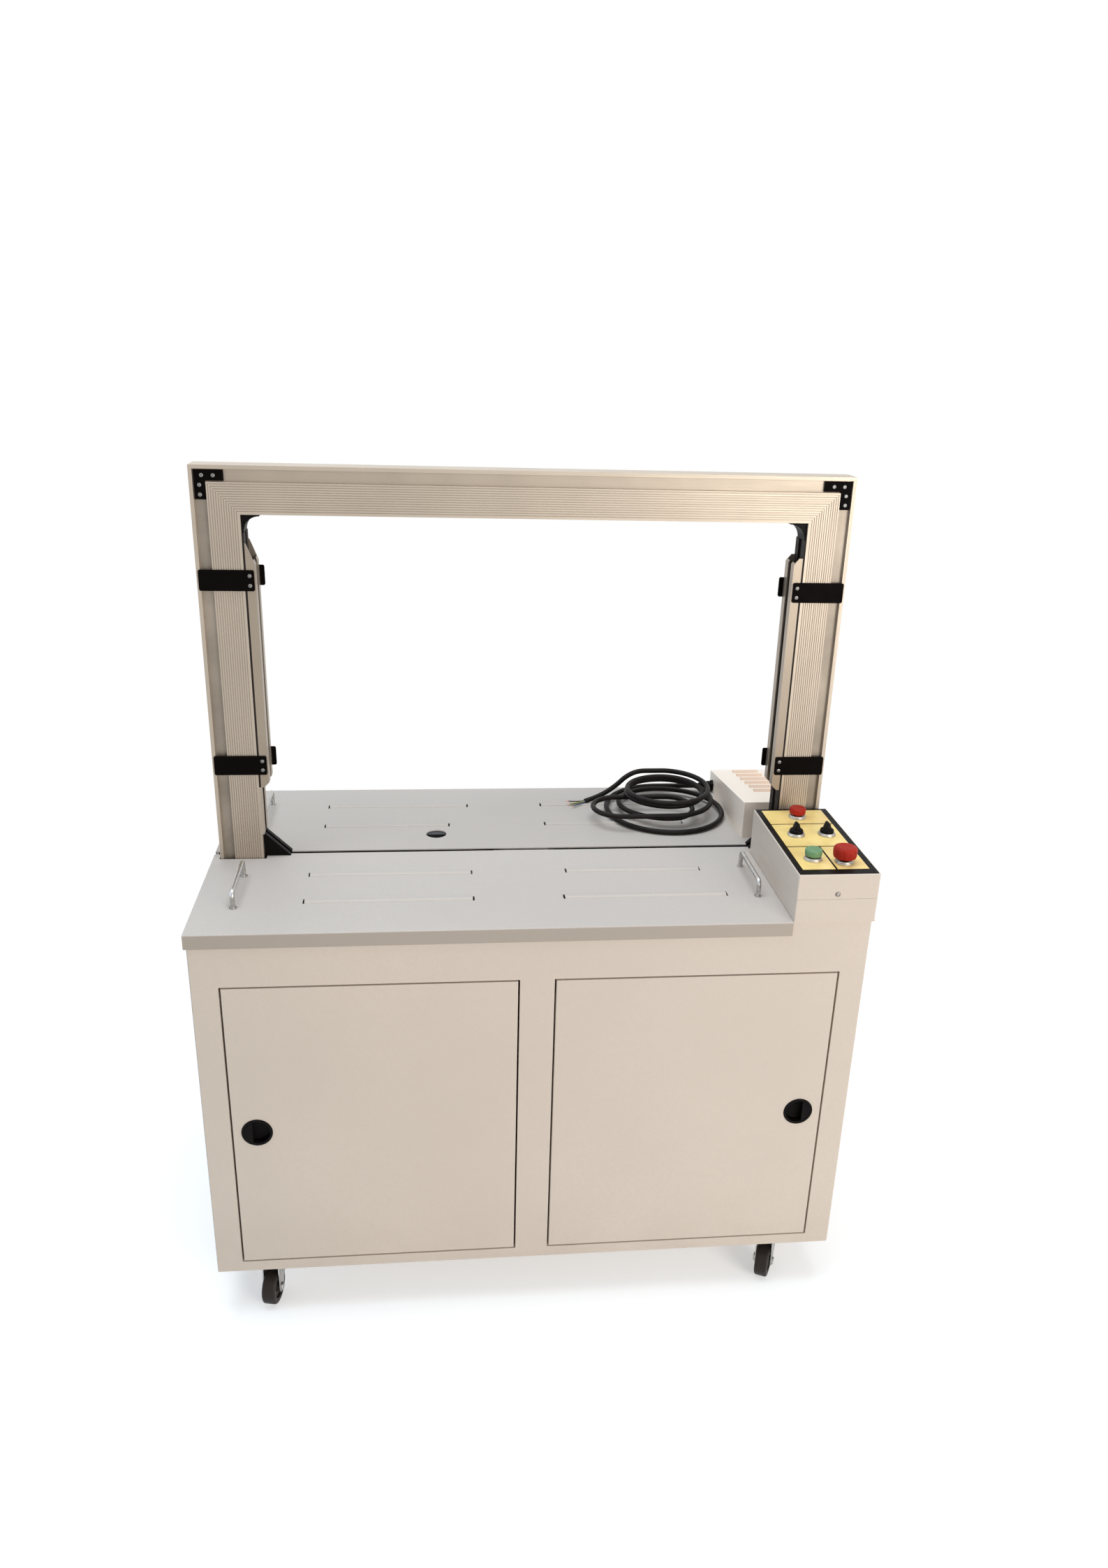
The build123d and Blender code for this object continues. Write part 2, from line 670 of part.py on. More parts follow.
def corner_brackets():
    """Angle plates let into the recess of the profile, on both faces of both top corners."""
    plates = []
    inset = PROFILE_LIP + (RECESS_W - BRACKET_W) / 2
    out = ARCH_OUT - inset
    top = ARCH_TOP - inset
    for side in (-1, 1):
        for face in (-1, 1):
            y0 = face * (ARCH_FACE - RECESS_DEPTH)
            y1 = y0 + face * BRACKET_T
            arm = block(side * out, side * (out - BRACKET_ARM), y0, y1, top - BRACKET_W, top)
            leg = block(side * out, side * (out - BRACKET_W), y0, y1, top - BRACKET_ARM, top)
            plates.append(arm + leg)
    return plates


def corner_guides():
    """Strap guides: hollow bends in the upper corners, grooved ramps in the slit below."""
    guides = []
    for side in (-1, 1):
        inner = ARCH_IN - UPPER_GUIDE_LEG
        low = ARCH_IN_TOP - UPPER_GUIDE_LEG
        start = -UPPER_GUIDE_W / 2
        outline = [(side * ARCH_IN, low), (side * ARCH_IN, ARCH_IN_TOP), (side * inner, ARCH_IN_TOP)]
        square = prism(outline + [(side * inner, low)], "Y", start, UPPER_GUIDE_W)
        bend = rod((side * inner, start, low), (0, 1, 0), UPPER_GUIDE_LEG - 3, UPPER_GUIDE_W)
        guides.append(square - bend)
    for side in (-1, 1):
        tip = side * (ARCH_IN - LOWER_GUIDE_LEG)
        wedge = [(side * ARCH_IN, TABLE_Z + LOWER_GUIDE_LEG), (tip, TABLE_Z + 1), (tip, CHUTE_TOP),
                 (side * ARCH_IN, CHUTE_TOP)]
        ramp = prism(wedge, "Y", -LOWER_GUIDE_W / 2, LOWER_GUIDE_W)
        rise = GUIDE_GROOVE_DEPTH * 1.4
        cut = [(side * ARCH_IN, TABLE_Z + LOWER_GUIDE_LEG + 1), (tip, TABLE_Z + 2), (tip, TABLE_Z + 1 - rise),
               (side * ARCH_IN, TABLE_Z + LOWER_GUIDE_LEG - rise)]
        guides.append(ramp - prism(cut, "Y", -GUIDE_GROOVE_W / 2, GUIDE_GROOVE_W))
    return guides


def guard_rails():
    """Angle rails beside the strap track, two on each post, tapered above and chamfered below."""
    rails = []
    for side, low, taper in ((-1, RAIL_BOTTOM_LEFT, RAIL_TAPER_LEFT),
                             (1, RAIL_BOTTOM_RIGHT, RAIL_TAPER_RIGHT)):
        z0 = TABLE_Z + low
        z1 = z0 + RAIL_LENGTH
        inner = ARCH_IN - RAIL_REACH
        for face in (-1, 1):
            y1 = face * (ARCH_FACE + CLAMP_T - RAIL_T)
            y0 = y1 - face * RAIL_T
            front = block(side * (ARCH_IN - LINER_T), side * inner, y0, y1, z0, z1)
            lip = block(side * inner, side * (inner + RAIL_T), y1, y1 - face * RAIL_LEG, z0, z1)
            top = [(side * inner, z1), (side * (inner + taper[0]), z1), (side * inner, z1 - taper[1])]
            end = [(side * inner, z0), (side * (inner + RAIL_CHAMFER), z0), (side * inner, z0 + RAIL_CHAMFER)]
            rail = front + lip - prism(top, "Y", -PROFILE_D, 2 * PROFILE_D)
            rails.append(rail - prism(end, "Y", -PROFILE_D, 2 * PROFILE_D))
    return rails


def rail_clamps():
    """Flat black clamp plates across the posts that hold the guard rails, front and rear."""
    plates = []
    for side, height in clamp_places():
        z = TABLE_Z + height
        for face in (-1, 1):
            reach = RAIL_REACH - 2 if face < 0 else RAIL_REACH + CLAMP_REAR_REACH
            plate = block(side * (ARCH_OUT - CLAMP_OUTER_INSET), side * (ARCH_IN - reach), face * ARCH_FACE,
                          face * (ARCH_FACE + CLAMP_T), z - CLAMP_H / 2, z + CLAMP_H / 2)
            plate = fillet(plate.edges().filter_by(Axis.Y), 3)
            pocket = block(side * ARCH_IN, side * (ARCH_IN - reach - 1), face * (ARCH_FACE - 1),
                           face * (ARCH_FACE + CLAMP_T - RAIL_T), z - CLAMP_H, z + CLAMP_H)
            plates.append(plate - pocket)
    return plates


def clamp_places():
    """Side and height above the table of each pair of clamp plates."""
    return ((-1, CLAMP_LOW_LEFT), (-1, CLAMP_HIGH_LEFT), (1, CLAMP_LOW_RIGHT), (1, CLAMP_HIGH_RIGHT))


def arch_screws():
    """Pan-head screws in the corner brackets and at the inner end of each clamp."""
    screws = []
    inset = PROFILE_LIP + RECESS_W / 2
    face_y = ARCH_FACE - RECESS_DEPTH + BRACKET_T
    for side in (-1, 1):
        for face in (-1, 1):
            for a, b in ((4, 0), (22, 0), (0, 15), (0, 30)):
                x = side * (ARCH_OUT - inset - a)
                z = ARCH_TOP - inset - b
                screws.append(rod((x, face * face_y, z), (0, face, 0), SCREW_R, SCREW_H))
    for side, height in clamp_places():
        x = side * (ARCH_IN - RAIL_REACH / 2)
        for face in (-1, 1):
            for rise in (-8, 8):
                place = (x, face * (ARCH_FACE + CLAMP_T), TABLE_Z + height + rise)
                screws.append(rod(place, (0, face, 0), SCREW_R, SCREW_H))
    return screws


def control_housing():
    """Open box under the control cover, on a floor that reaches back to the slit."""
    x1 = TABLE_HALF_W
    top = TABLE_Z + HOUSING_H
    box = block(WALL_X, x1, HOUSING_FRONT_Y, HOUSING_REAR_Y, TABLE_Z, top)
    box = fillet(box.edges().filter_by(Axis.Z), HOUSING_R)
    box -= block(WALL_X + SHEET, x1 - SHEET, HOUSING_FRONT_Y + SHEET, HOUSING_REAR_Y - SHEET, TABLE_Z, top)
    deck = block(WALL_X, x1, HOUSING_FRONT_Y, -SLIT_W / 2, PLATE_BOTTOM, TABLE_Z)
    deck -= notch(-1, 1)
    return box + deck


def control_cover():
    """Lid over the housing, holed for the control barrels and screwed at the front."""
    x1 = TABLE_HALF_W
    low = TABLE_Z + HOUSING_H + SEAT_GAP
    lid = block(WALL_X, x1, HOUSING_FRONT_Y, HOUSING_REAR_Y, low, PANEL_Z)
    lid = fillet(lid.edges().filter_by(Axis.Z), HOUSING_R)
    lid = fillet(lid.faces().sort_by(Axis.Z)[-1].edges(), 1.5)
    lid -= block(WALL_X + SHEET, x1 - SHEET, HOUSING_FRONT_Y + SHEET, HOUSING_REAR_Y - SHEET,
                 low, PANEL_Z - SHEET)
    for x, y in control_places():
        lid -= rod((x, y, PANEL_Z - SHEET - 1), (0, 0, 1), BARREL_R, SHEET + 2)
    mid = (WALL_X + x1) / 2
    screw = rod((mid, HOUSING_FRONT_Y, low + 9), (0, -1, 0), 3.5, 1.6)
    return [lid, screw]


def control_places():
    return (RED_XY, KNOB_LEFT_XY, KNOB_RIGHT_XY, GREEN_XY, ESTOP_XY)


def panel_frame():
    """Black panel plate with a hole for each control."""
    plate = block(WALL_X + PANEL_EDGE, TABLE_HALF_W - PANEL_EDGE, HOUSING_FRONT_Y + PANEL_EDGE,
                  HOUSING_REAR_Y - PANEL_EDGE, PANEL_Z, PANEL_Z + PANEL_T)
    for x, y in control_places():
        plate -= rod((x, y, PANEL_Z - 1), (0, 0, 1), BARREL_R, PANEL_T + 2)
    return plate


def panel_fields():
    """Yellow fields on the panel: a wide one, a wide one for the selectors and two halves in front."""
    z0 = PANEL_Z + PANEL_T
    z1 = z0 + FIELD_T
    fields = []
    left = WALL_X + FIELD_INSET
    right = left + FIELD_W
    divider = WALL_X + FIELD_DIVIDER
    for i, (near, far) in enumerate(FIELD_ROWS):
        spans = [(left, right)]
        if i == 2:
            spans = [(left, divider - FIELD_LINE / 2), (divider + FIELD_LINE / 2, right)]
        for x0, x1 in spans:
            field = block(x0, x1, HOUSING_FRONT_Y + near, HOUSING_FRONT_Y + far, z0, z1)
            for x, y in control_places():
                field -= rod((x, y, z0 - 1), (0, 0, 1), BARREL_R, FIELD_T + 2)
            fields.append(field)
    return fields


def button_bezels():
    """Metal barrels of the controls: a collar on the panel, a bore for the stem and a nut under the lid."""
    bodies = []
    for x, y in control_places():
        low = FACE_Z - BARREL_DROP
        body = rod((x, y, low), (0, 0, 1), BARREL_R, BARREL_DROP)
        collar = rod((x, y, FACE_Z), (0, 0, 1), BEZEL_R, BEZEL_H)
        collar = fillet(collar.edges().group_by(Axis.Z)[-1], 1.5)
        body += collar
        body += rod((x, y, PANEL_Z - SHEET - 5), (0, 0, 1), BEZEL_R, 5)
        body -= rod((x, y, low + 3), (0, 0, 1), STEM_R + RUN_GAP, BARREL_DROP + BEZEL_H)
        bodies.append(body)
    return bodies


def push_cap(place):
    """A push button: a domed cap on a stem that slides in the barrel."""
    x, y = place
    low = BEZEL_TOP + CAP_TRAVEL + JOINT_GAP
    cap = rod((x, y, low), (0, 0, 1), CAP_R, CAP_H)
    cap = fillet(cap.edges().group_by(Axis.Z)[-1], 3.5)
    return cap + rod((x, y, low - 22), (0, 0, 1), STEM_R, 22)


def estop_stem():
    """Stem of the emergency stop, with the neck that the head turns on."""
    x, y = ESTOP_XY
    low = BEZEL_TOP + ESTOP_TRAVEL + JOINT_GAP
    stem = rod((x, y, low - 22), (0, 0, 1), STEM_R, 22)
    return stem + rod((x, y, low), (0, 0, 1), STEM_R - 2, 8)


def estop_head():
    """Red mushroom head, hollow under its rim, with grip flutes round its edge."""
    x, y = ESTOP_XY
    low = BEZEL_TOP + ESTOP_TRAVEL + 2 * JOINT_GAP
    head = rod((x, y, low), (0, 0, 1), ESTOP_R, ESTOP_H)
    head = fillet(head.edges().group_by(Axis.Z)[-1], 6)
    for i in range(12):
        turn = 2 * pi * i / 12
        spot = (x + (ESTOP_R + 2.2) * cos(turn), y + (ESTOP_R + 2.2) * sin(turn), low - 1)
        head -= rod(spot, (0, 0, 1), 3.2, ESTOP_H - 6)
    return head - rod((x, y, low - 1), (0, 0, 1), STEM_R - 2 + RUN_GAP, 10)


def selector_knob(place):
    """Selector: a round skirt with a pointed grip across it, on a stem."""
    x, y = place
    low = BEZEL_TOP + JOINT_GAP
    knob = rod((x, y, low), (0, 0, 1), KNOB_R, KNOB_BASE_H)
    half = KNOB_GRIP_W / 2
    tip = KNOB_GRIP_L / 2
    outline = Polyline((x - half, y - tip + 3), (x - half, y + tip - 5), (x, y + tip),
                       (x + half, y + tip - 5), (x + half, y - tip + 3), close=True)
    grip = extrude(Pos(0, 0, low) * make_face(outline), KNOB_BASE_H + KNOB_GRIP_H)
    return knob + grip + rod((x, y, low - 18), (0, 0, 1), STEM_R, 18)


def vent_height(y):
    """Height of the vent cover's sloping top at a place along Y."""
    share = (y - VENT_FRONT_Y) / (VENT_REAR_Y - VENT_FRONT_Y)
    return TABLE_Z + VENT_NEAR_H + share * (VENT_FAR_H - VENT_NEAR_H)


def vent_cover():
    """Sloping sheet cover behind the arch with hooded louvres across its top."""
    x1 = TABLE_HALF_W
    near = vent_height(VENT_FRONT_Y)
    far = vent_height(VENT_REAR_Y)
    outline = [(VENT_FRONT_Y, TABLE_Z), (VENT_FRONT_Y, near), (VENT_REAR_Y, far), (VENT_REAR_Y, TABLE_Z)]
    cover = prism(outline, "X", WALL_X, x1 - WALL_X)
    cover = fillet(cover.edges().filter_by(Axis.Z), HOUSING_R)
    inner = [(VENT_FRONT_Y + SHEET, TABLE_Z), (VENT_FRONT_Y + SHEET, near - SHEET),
             (VENT_REAR_Y - SHEET, far - SHEET), (VENT_REAR_Y - SHEET, TABLE_Z)]
    cover -= prism(inner, "X", WALL_X + SHEET, x1 - WALL_X - 2 * SHEET)
    slope = (far - near) / (VENT_REAR_Y - VENT_FRONT_Y)
    left = (WALL_X + x1) / 2 - LOUVRE_L / 2
    first = VENT_FRONT_Y + LOUVRE_FROM_FRONT
    last = VENT_REAR_Y - LOUVRE_FROM_REAR
    for i in range(LOUVRE_COUNT):
        y = first + i * (last - first) / (LOUVRE_COUNT - 1)
        z = vent_height(y)
        back = y + LOUVRE_W
        z_back = vent_height(back)
        crest = z_back + LOUVRE_H * 0.95 - slope * LOUVRE_W * 0.45
        cover -= block(left + LOUVRE_T, left + LOUVRE_L - LOUVRE_T, back - LOUVRE_W * 0.6, back,
                       z_back - SHEET - 3, z_back + 2)
        hood = [(back, z_back - 0.5), (back, z_back + LOUVRE_H), (back - LOUVRE_W * 0.45, crest),
                (y, z), (y, z - 1)]
        room = [(back + 1, z_back - SHEET - 1), (back + 1, z_back + LOUVRE_H - LOUVRE_T),
                (back - LOUVRE_W * 0.42, crest - LOUVRE_T), (back - LOUVRE_W * 0.6, z_back - SHEET - 1)]
        cover += prism(hood, "X", left, LOUVRE_L)
        cover -= prism(room, "X", left + LOUVRE_T, LOUVRE_L - 2 * LOUVRE_T)
    return cover


def caster_places():
    """Where each caster swivels, with the way that its wheel trails."""
    x = HALF_W - CASTER_INSET_X
    y = HALF_D - CASTER_INSET_Y
    spots = [(-x, -y), (x, -y), (-x, y), (x, y)]
    return [(a, b, turn) for (a, b), turn in zip(spots, CASTER_ANGLES)]


def caster_plates():
    """Bolted top plates with the fixed race of each caster."""
    plates = []
    for x, y, turn in caster_places():
        half = CASTER_PLATE / 2
        top = CABINET_BOTTOM
        plate = block(x - half, x + half, y - half, y + half, top - CASTER_PLATE_T, top)
        plate = fillet(plate.edges().filter_by(Axis.Z), 6)
        plate += rod((x, y, top - CASTER_PLATE_T), (0, 0, -1), 5, RACE_H + 6)
        plates.append(plate)
    return plates


def caster_fork(x, y, turn):
    """Swivelling fork: race ring, crown, two legs, and the axle bolt across them."""
    top = CABINET_BOTTOM - CASTER_PLATE_T - SEAT_GAP
    crown = top - RACE_H
    race = ring((0, 0, crown), (0, 0, 1), RACE_R, 5 + RUN_GAP, RACE_H)
    race = fillet(race.edges().filter_by(GeomType.CIRCLE).group_by(Axis.Z)[-1].sort_by(SortBy.LENGTH)[-1], 2)
    inner = WHEEL_W / 2 + 1.5
    outer = inner + FORK_T
    plate = block(-RACE_R + 3, CASTER_TRAIL + 8, -outer, outer, crown - FORK_T, crown)
    plate -= rod((0, 0, crown - FORK_T - 1), (0, 0, 1), 5 + RUN_GAP, FORK_T + 2)
    body = race + plate
    leg = [(-RACE_R + 3, crown), (CASTER_TRAIL + 8, crown), (CASTER_TRAIL + 9, WHEEL_R - 3),
           (CASTER_TRAIL + 4, WHEEL_R - 9), (CASTER_TRAIL - 6, WHEEL_R - 9), (CASTER_TRAIL - 11, WHEEL_R - 3)]
    for side in (-1, 1):
        start = inner if side > 0 else -outer
        cheek = prism(leg, "Y", start, FORK_T)
        cheek -= rod((CASTER_TRAIL, start - 1, WHEEL_R), (0, 1, 0), AXLE_R, FORK_T + 2)
        body += cheek
    bolt = rod((CASTER_TRAIL, -outer, WHEEL_R), (0, 1, 0), AXLE_R, 2 * outer)
    for side in (-1, 1):
        bolt += rod((CASTER_TRAIL, side * outer, WHEEL_R), (0, side, 0), AXLE_R + 2.5, 3)
    place = Pos(x, y, 0) * Rot(0, 0, turn)
    return [place * body, place * bolt]


def caster_wheel(x, y, turn):
    """Wheel with a rounded tread, recessed faces and a bored hub."""
    half = WHEEL_W / 2
    wheel = rod((CASTER_TRAIL, -half, WHEEL_R), (0, 1, 0), WHEEL_R, WHEEL_W)
    wheel = fillet(wheel.edges().filter_by(GeomType.CIRCLE), 4)
    for side in (-1, 1):
        face = side * half
        wheel -= ring((CASTER_TRAIL, face, WHEEL_R), (0, -side, 0), WHEEL_R - 9, AXLE_R + 5, 5)
    wheel -= rod((CASTER_TRAIL, -half - 1, WHEEL_R), (0, 1, 0), AXLE_R + RUN_GAP, WHEEL_W + 2)
    return Pos(x, y, 0) * Rot(0, 0, turn) * wheel


def reel():
    """Strap reel: core tube, bearing tube and two flanges with windows."""
    start = (REEL_X, REEL_FRONT_Y, REEL_Z)
    body = ring(start, (0, 1, 0), REEL_CORE_R, REEL_CORE_R - REEL_T, REEL_W)
    body += ring(start, (0, 1, 0), SPINDLE_R + 5, SPINDLE_R + RUN_GAP, REEL_W)
    for y in (REEL_FRONT_Y, REEL_FRONT_Y + REEL_W - REEL_T):
        disc = ring((REEL_X, y, REEL_Z), (0, 1, 0), REEL_R, SPINDLE_R + RUN_GAP, REEL_T)
        reach = (REEL_CORE_R + REEL_R) / 2
        for i in range(REEL_WINDOWS):
            turn = 2 * pi * i / REEL_WINDOWS
            spot = (REEL_X + reach * cos(turn), y - 1, REEL_Z + reach * sin(turn))
            disc -= rod(spot, (0, 1, 0), 27, REEL_T + 2)
        body += disc
    return body


def reel_spindle():
    """Spindle with a collar at each side of the reel, welded to a gusseted stand on the cabinet floor."""
    front = REEL_FRONT_Y - JOINT_GAP - SPINDLE_COLLAR
    rear = REEL_FRONT_Y + REEL_W + JOINT_GAP
    wall = rear + SPINDLE_COLLAR
    low = CABINET_BOTTOM + SHEET
    unit = rod((REEL_X, front, REEL_Z), (0, 1, 0), SPINDLE_R, wall - front)
    unit += rod((REEL_X, front, REEL_Z), (0, 1, 0), SPINDLE_R + 12, SPINDLE_COLLAR)
    unit += rod((REEL_X, rear, REEL_Z), (0, 1, 0), SPINDLE_R + 8, SPINDLE_COLLAR)
    half = STAND_W / 2
    plate = block(REEL_X - half, REEL_X + half, wall, wall + STAND_T, low, REEL_Z + half)
    plate = chamfer(plate.edges().filter_by(Axis.Y).group_by(Axis.Z)[-1], half / 2)
    unit += plate
    unit += block(REEL_X - half, REEL_X + half, wall, wall + STAND_FOOT, low, low + STAND_T)
    gusset = [(wall, low), (wall + STAND_FOOT, low), (wall + STAND_FOOT, low + 2 * STAND_T), (wall, REEL_Z)]
    for x in (REEL_X - half, REEL_X + half - STAND_T):
        unit += prism(gusset, "X", x, STAND_T)
    return unit


def head_frame():
    """Frame of the strapping head: base, hangers, bearing plates, press block and feed plates."""
    pieces = []
    y = BEAM_Y
    base_top = BASE_Z + BASE_T
    pieces.append(block(BASE_X0, BASE_X1, -y + BASE_T, y - BASE_T, BASE_Z, base_top))
    for side in (-1, 1):
        for x in (BASE_X0, BASE_X1 - HANGER_W):
            pieces.append(block(x, x + HANGER_W, side * (y - BASE_T), side * y, BASE_Z, BEAM_TOP - 10))
    half = END_PLATE_W / 2
    for side in (-1, 1):
        plate = block(side * END_PLATE_X, side * (END_PLATE_X + END_PLATE_T), -half, half,
                      base_top, HEAD_BLOCK_TOP)
        plate -= rod((side * END_PLATE_X - 10, 0, CAM_Z), (1, 0, 0), CAMSHAFT_R + RUN_GAP, 20)
        pieces.append(plate)
    pieces.append(press_block())
    half = FEED_PLATE_W / 2
    for side in (-1, 1):
        y0 = side * (ROLLER_W / 2 + JOINT_GAP)
        plate = block(FEED_X - half, FEED_X + half, y0, y0 + side * FEED_PLATE_T, base_top, DECK_Z - 5)
        plate -= rod((FEED_X, y0 - 10, FEED_Z), (0, 1, 0), FEED_SHAFT_R + RUN_GAP, 20)
        plate -= rod((FEED_X, y0 - 10, pinch_z()), (0, 1, 0), PINCH_SHAFT_R + RUN_GAP, 20)
        pieces.append(plate)
    return pieces


def pinch_z():
    return FEED_Z + FEED_R + STRAP_GAP + PINCH_R


def press_block():
    """Block that guides the three presses, with upstands and ledges for the slide plate."""
    half = HEAD_BLOCK_W / 2
    body = block(-END_PLATE_X, END_PLATE_X, -half, half, HEAD_BLOCK_BOTTOM, HEAD_BLOCK_TOP)
    edge = SLIDE_L / 2 + JOINT_GAP
    for side in (-1, 1):
        body += block(side * edge, side * (edge + 10), -half, half, HEAD_BLOCK_TOP - 1, SLIDE_Z + SLIDE_T)
        body += block(side * (edge - LEDGE_W), side * (edge + 1), -half, half, HEAD_BLOCK_TOP - 1,
                      SLIDE_Z - JOINT_GAP)
    for x in PRESS_X:
        body -= block(x - PRESS_W / 2 - JOINT_GAP, x + PRESS_W / 2 + JOINT_GAP, -PRESS_L / 2 - JOINT_GAP,
                      PRESS_L / 2 + JOINT_GAP, HEAD_BLOCK_BOTTOM - 1, SLIDE_Z)
    return body


def slide_plate():
    """Anvil plate just under the slit, which draws back to let the welded strap go."""
    return block(-SLIDE_L / 2, SLIDE_L / 2, -SLIDE_W / 2, SLIDE_W / 2, SLIDE_Z, SLIDE_Z + SLIDE_T)


def press(x, toothed):
    """A press: a square plunger, a rounded foot over its cam, a stop collar and a plain or toothed top."""
    low = CAM_Z + CAM_R + PRESS_LIFT + JOINT_GAP
    half = PRESS_W / 2
    bar = block(x - half, x + half, -PRESS_L / 2, PRESS_L / 2, low, PRESS_TOP)
    bar = fillet(bar.edges().filter_by(Axis.X).group_by(Axis.Z)[0], PRESS_L / 3)
    bar += block(x - half - PRESS_COLLAR, x + half + PRESS_COLLAR, -PRESS_L / 2 - PRESS_COLLAR,
                 PRESS_L / 2 + PRESS_COLLAR, PRESS_COLLAR_Z, PRESS_COLLAR_Z + PRESS_COLLAR)
    if toothed:
        pitch = PRESS_W / PRESS_TEETH
        for i in range(PRESS_TEETH):
            left = x - half + i * pitch
            groove = [(left, PRESS_TOP + 1), (left, PRESS_TOP), (left + pitch / 2, PRESS_TOP - TOOTH_DEPTH),
                      (left + pitch, PRESS_TOP), (left + pitch, PRESS_TOP + 1)]
            bar -= prism(groove, "Y", -PRESS_L / 2 - 1, PRESS_L + 2)
    return bar


def camshaft():
    """Camshaft with a lobed cam under each press and a tail in the gearbox."""
    start = -END_PLATE_X - END_PLATE_T - SHAFT_END
    shaft = rod((start, 0, CAM_Z), (1, 0, 0), CAMSHAFT_R, gearbox_x() + GEAR_ENGAGE - start)
    reach = CAM_R + PRESS_LIFT - CAM_LOBE_R
    for x, angle in zip(PRESS_X, CAM_LOBE_ANGLES):
        turn = radians(angle)
        shaft += rod((x - CAM_W / 2, 0, CAM_Z), (1, 0, 0), CAM_R, CAM_W)
        spot = (x - CAM_W / 2, reach * cos(turn), CAM_Z + reach * sin(turn))
        shaft += rod(spot, (1, 0, 0), CAM_LOBE_R, CAM_W)
    for side in (-1, 1):
        inner = side * (END_PLATE_X - JOINT_GAP)
        shaft += rod((inner, 0, CAM_Z), (-side, 0, 0), CAMSHAFT_R + 5, 6)
    return shaft


def gearbox_x():
    return END_PLATE_X + END_PLATE_T + GEARBOX_GAP


def feed_roller():
    """Driven feed roller with a fluted rim, under the strap."""
    half = ROLLER_W / 2
    body = rod((FEED_X, -half, FEED_Z), (0, 1, 0), FEED_R, ROLLER_W)
    body += rod((FEED_X, -half - FEED_PLATE_T - 6, FEED_Z), (0, 1, 0), FEED_SHAFT_R,
                ROLLER_W + 2 * FEED_PLATE_T + 16)
    return body


def pinch_roller():
    """Pinch roller that holds the strap down on the feed roller."""
    half = ROLLER_W / 2
    body = rod((FEED_X, -half, pinch_z()), (0, 1, 0), PINCH_R, ROLLER_W)
    return body + rod((FEED_X, -half - FEED_PLATE_T - 4, pinch_z()), (0, 1, 0), PINCH_SHAFT_R,
                      ROLLER_W + 2 * FEED_PLATE_T + 8)


def drive_motors():
    """Geared motor of the camshaft and the smaller feed motor beside the feed rollers."""
    base_top = BASE_Z + BASE_T
    gear_x0 = gearbox_x()
    gear_x1 = gear_x0 + GEARBOX_L
    case = block(gear_x0, gear_x1, -38, 38, base_top, CAM_Z + 45)
    case = fillet(case.edges().filter_by(Axis.X), 8)
    case -= rod((gear_x0 - 1, 0, CAM_Z), (1, 0, 0), CAMSHAFT_R + RUN_GAP, GEAR_ENGAGE + 2)
    can = rod((gear_x1, 0, CAM_Z), (1, 0, 0), MOTOR_R, MOTOR_L)
    can = fillet(can.edges().group_by(Axis.X)[-1], 8)
    for i in range(MOTOR_FINS):
        fin = block(gear_x1 + 12, gear_x1 + MOTOR_L - 25, -1.5, 1.5, MOTOR_R - 2, MOTOR_R + 4)
        can += Pos(0, 0, CAM_Z) * Rot(360 * i / MOTOR_FINS, 0, 0) * fin
    side_y = ROLLER_W / 2 + JOINT_GAP + FEED_PLATE_T
    low = FEED_Z - FEED_CASE_H
    feed_case = block(FEED_X - FEED_CASE_W / 2, FEED_X + FEED_CASE_W / 2, side_y, side_y + FEED_CASE_D,
                      low, FEED_Z + FEED_SHAFT_R + 4)
    feed_case -= rod((FEED_X, side_y - 1, FEED_Z), (0, 1, 0), FEED_SHAFT_R + RUN_GAP, FEED_R)
    feed_can = rod((FEED_X, side_y + FEED_CASE_D / 2, low), (0, 0, -1), FEED_MOTOR_R, low - base_top)
    return [case + can, feed_case + feed_can]


def electrical_gear():
    """Mounting plate on the right side panel with contactors and terminals, and the transformer."""
    wall = HALF_W - SHEET
    face = wall - GEAR_T
    high = GEAR_LOW + GEAR_H
    pieces = [block(face, wall, -GEAR_W / 2, GEAR_W / 2, GEAR_LOW, high)]
    top = high - CONTACTOR_DROP
    for i in range(CONTACTORS):
        y = -GEAR_W / 2 + CONTACTOR_PITCH / 2 + i * CONTACTOR_PITCH
        case = block(face - CONTACTOR_D, face, y, y + CONTACTOR_W, top - CONTACTOR_H, top)
        pieces.append(fillet(case.edges().filter_by(Axis.X), 3))
    rail_top = top - CONTACTOR_H - TERMINAL_H
    pieces.append(block(face - TERMINAL_H, face, -TERMINAL_L / 2, TERMINAL_L / 2,
                        rail_top - TERMINAL_H, rail_top))
    pieces.append(block(face - BOARD_T, face, -BOARD_L / 2, BOARD_L / 2,
                        GEAR_LOW + TERMINAL_H / 2, GEAR_LOW + TERMINAL_H / 2 + BOARD_H))
    low = CABINET_BOTTOM + SHEET
    right = wall - CORE_INSET
    rear = HALF_D - CORE_INSET
    core = block(right - CORE_W, right, rear - CORE_L, rear, low, low + CORE_H)
    reach = CORE_W / 2 + WINDING_PROUD
    mid = right - CORE_W / 2
    winding = block(mid - reach, mid + reach, rear - CORE_L * 0.75, rear - CORE_L / 4,
                    low + 2 * WINDING_PROUD, low + CORE_H - 2 * WINDING_PROUD)
    pieces.append(core + fillet(winding.edges().filter_by(Axis.Y), WINDING_PROUD))
    return pieces


def half_turn(a, b, side):
    """Half a turn between two points in line along Y, bulging to the left (-1) or right (1)."""
    mid = [(p + q) / 2 for p, q in zip(a, b)]
    radius = dist(a, b) / 2
    return ThreePointArc(a, (mid[0] + side * radius, mid[1], mid[2]), b)


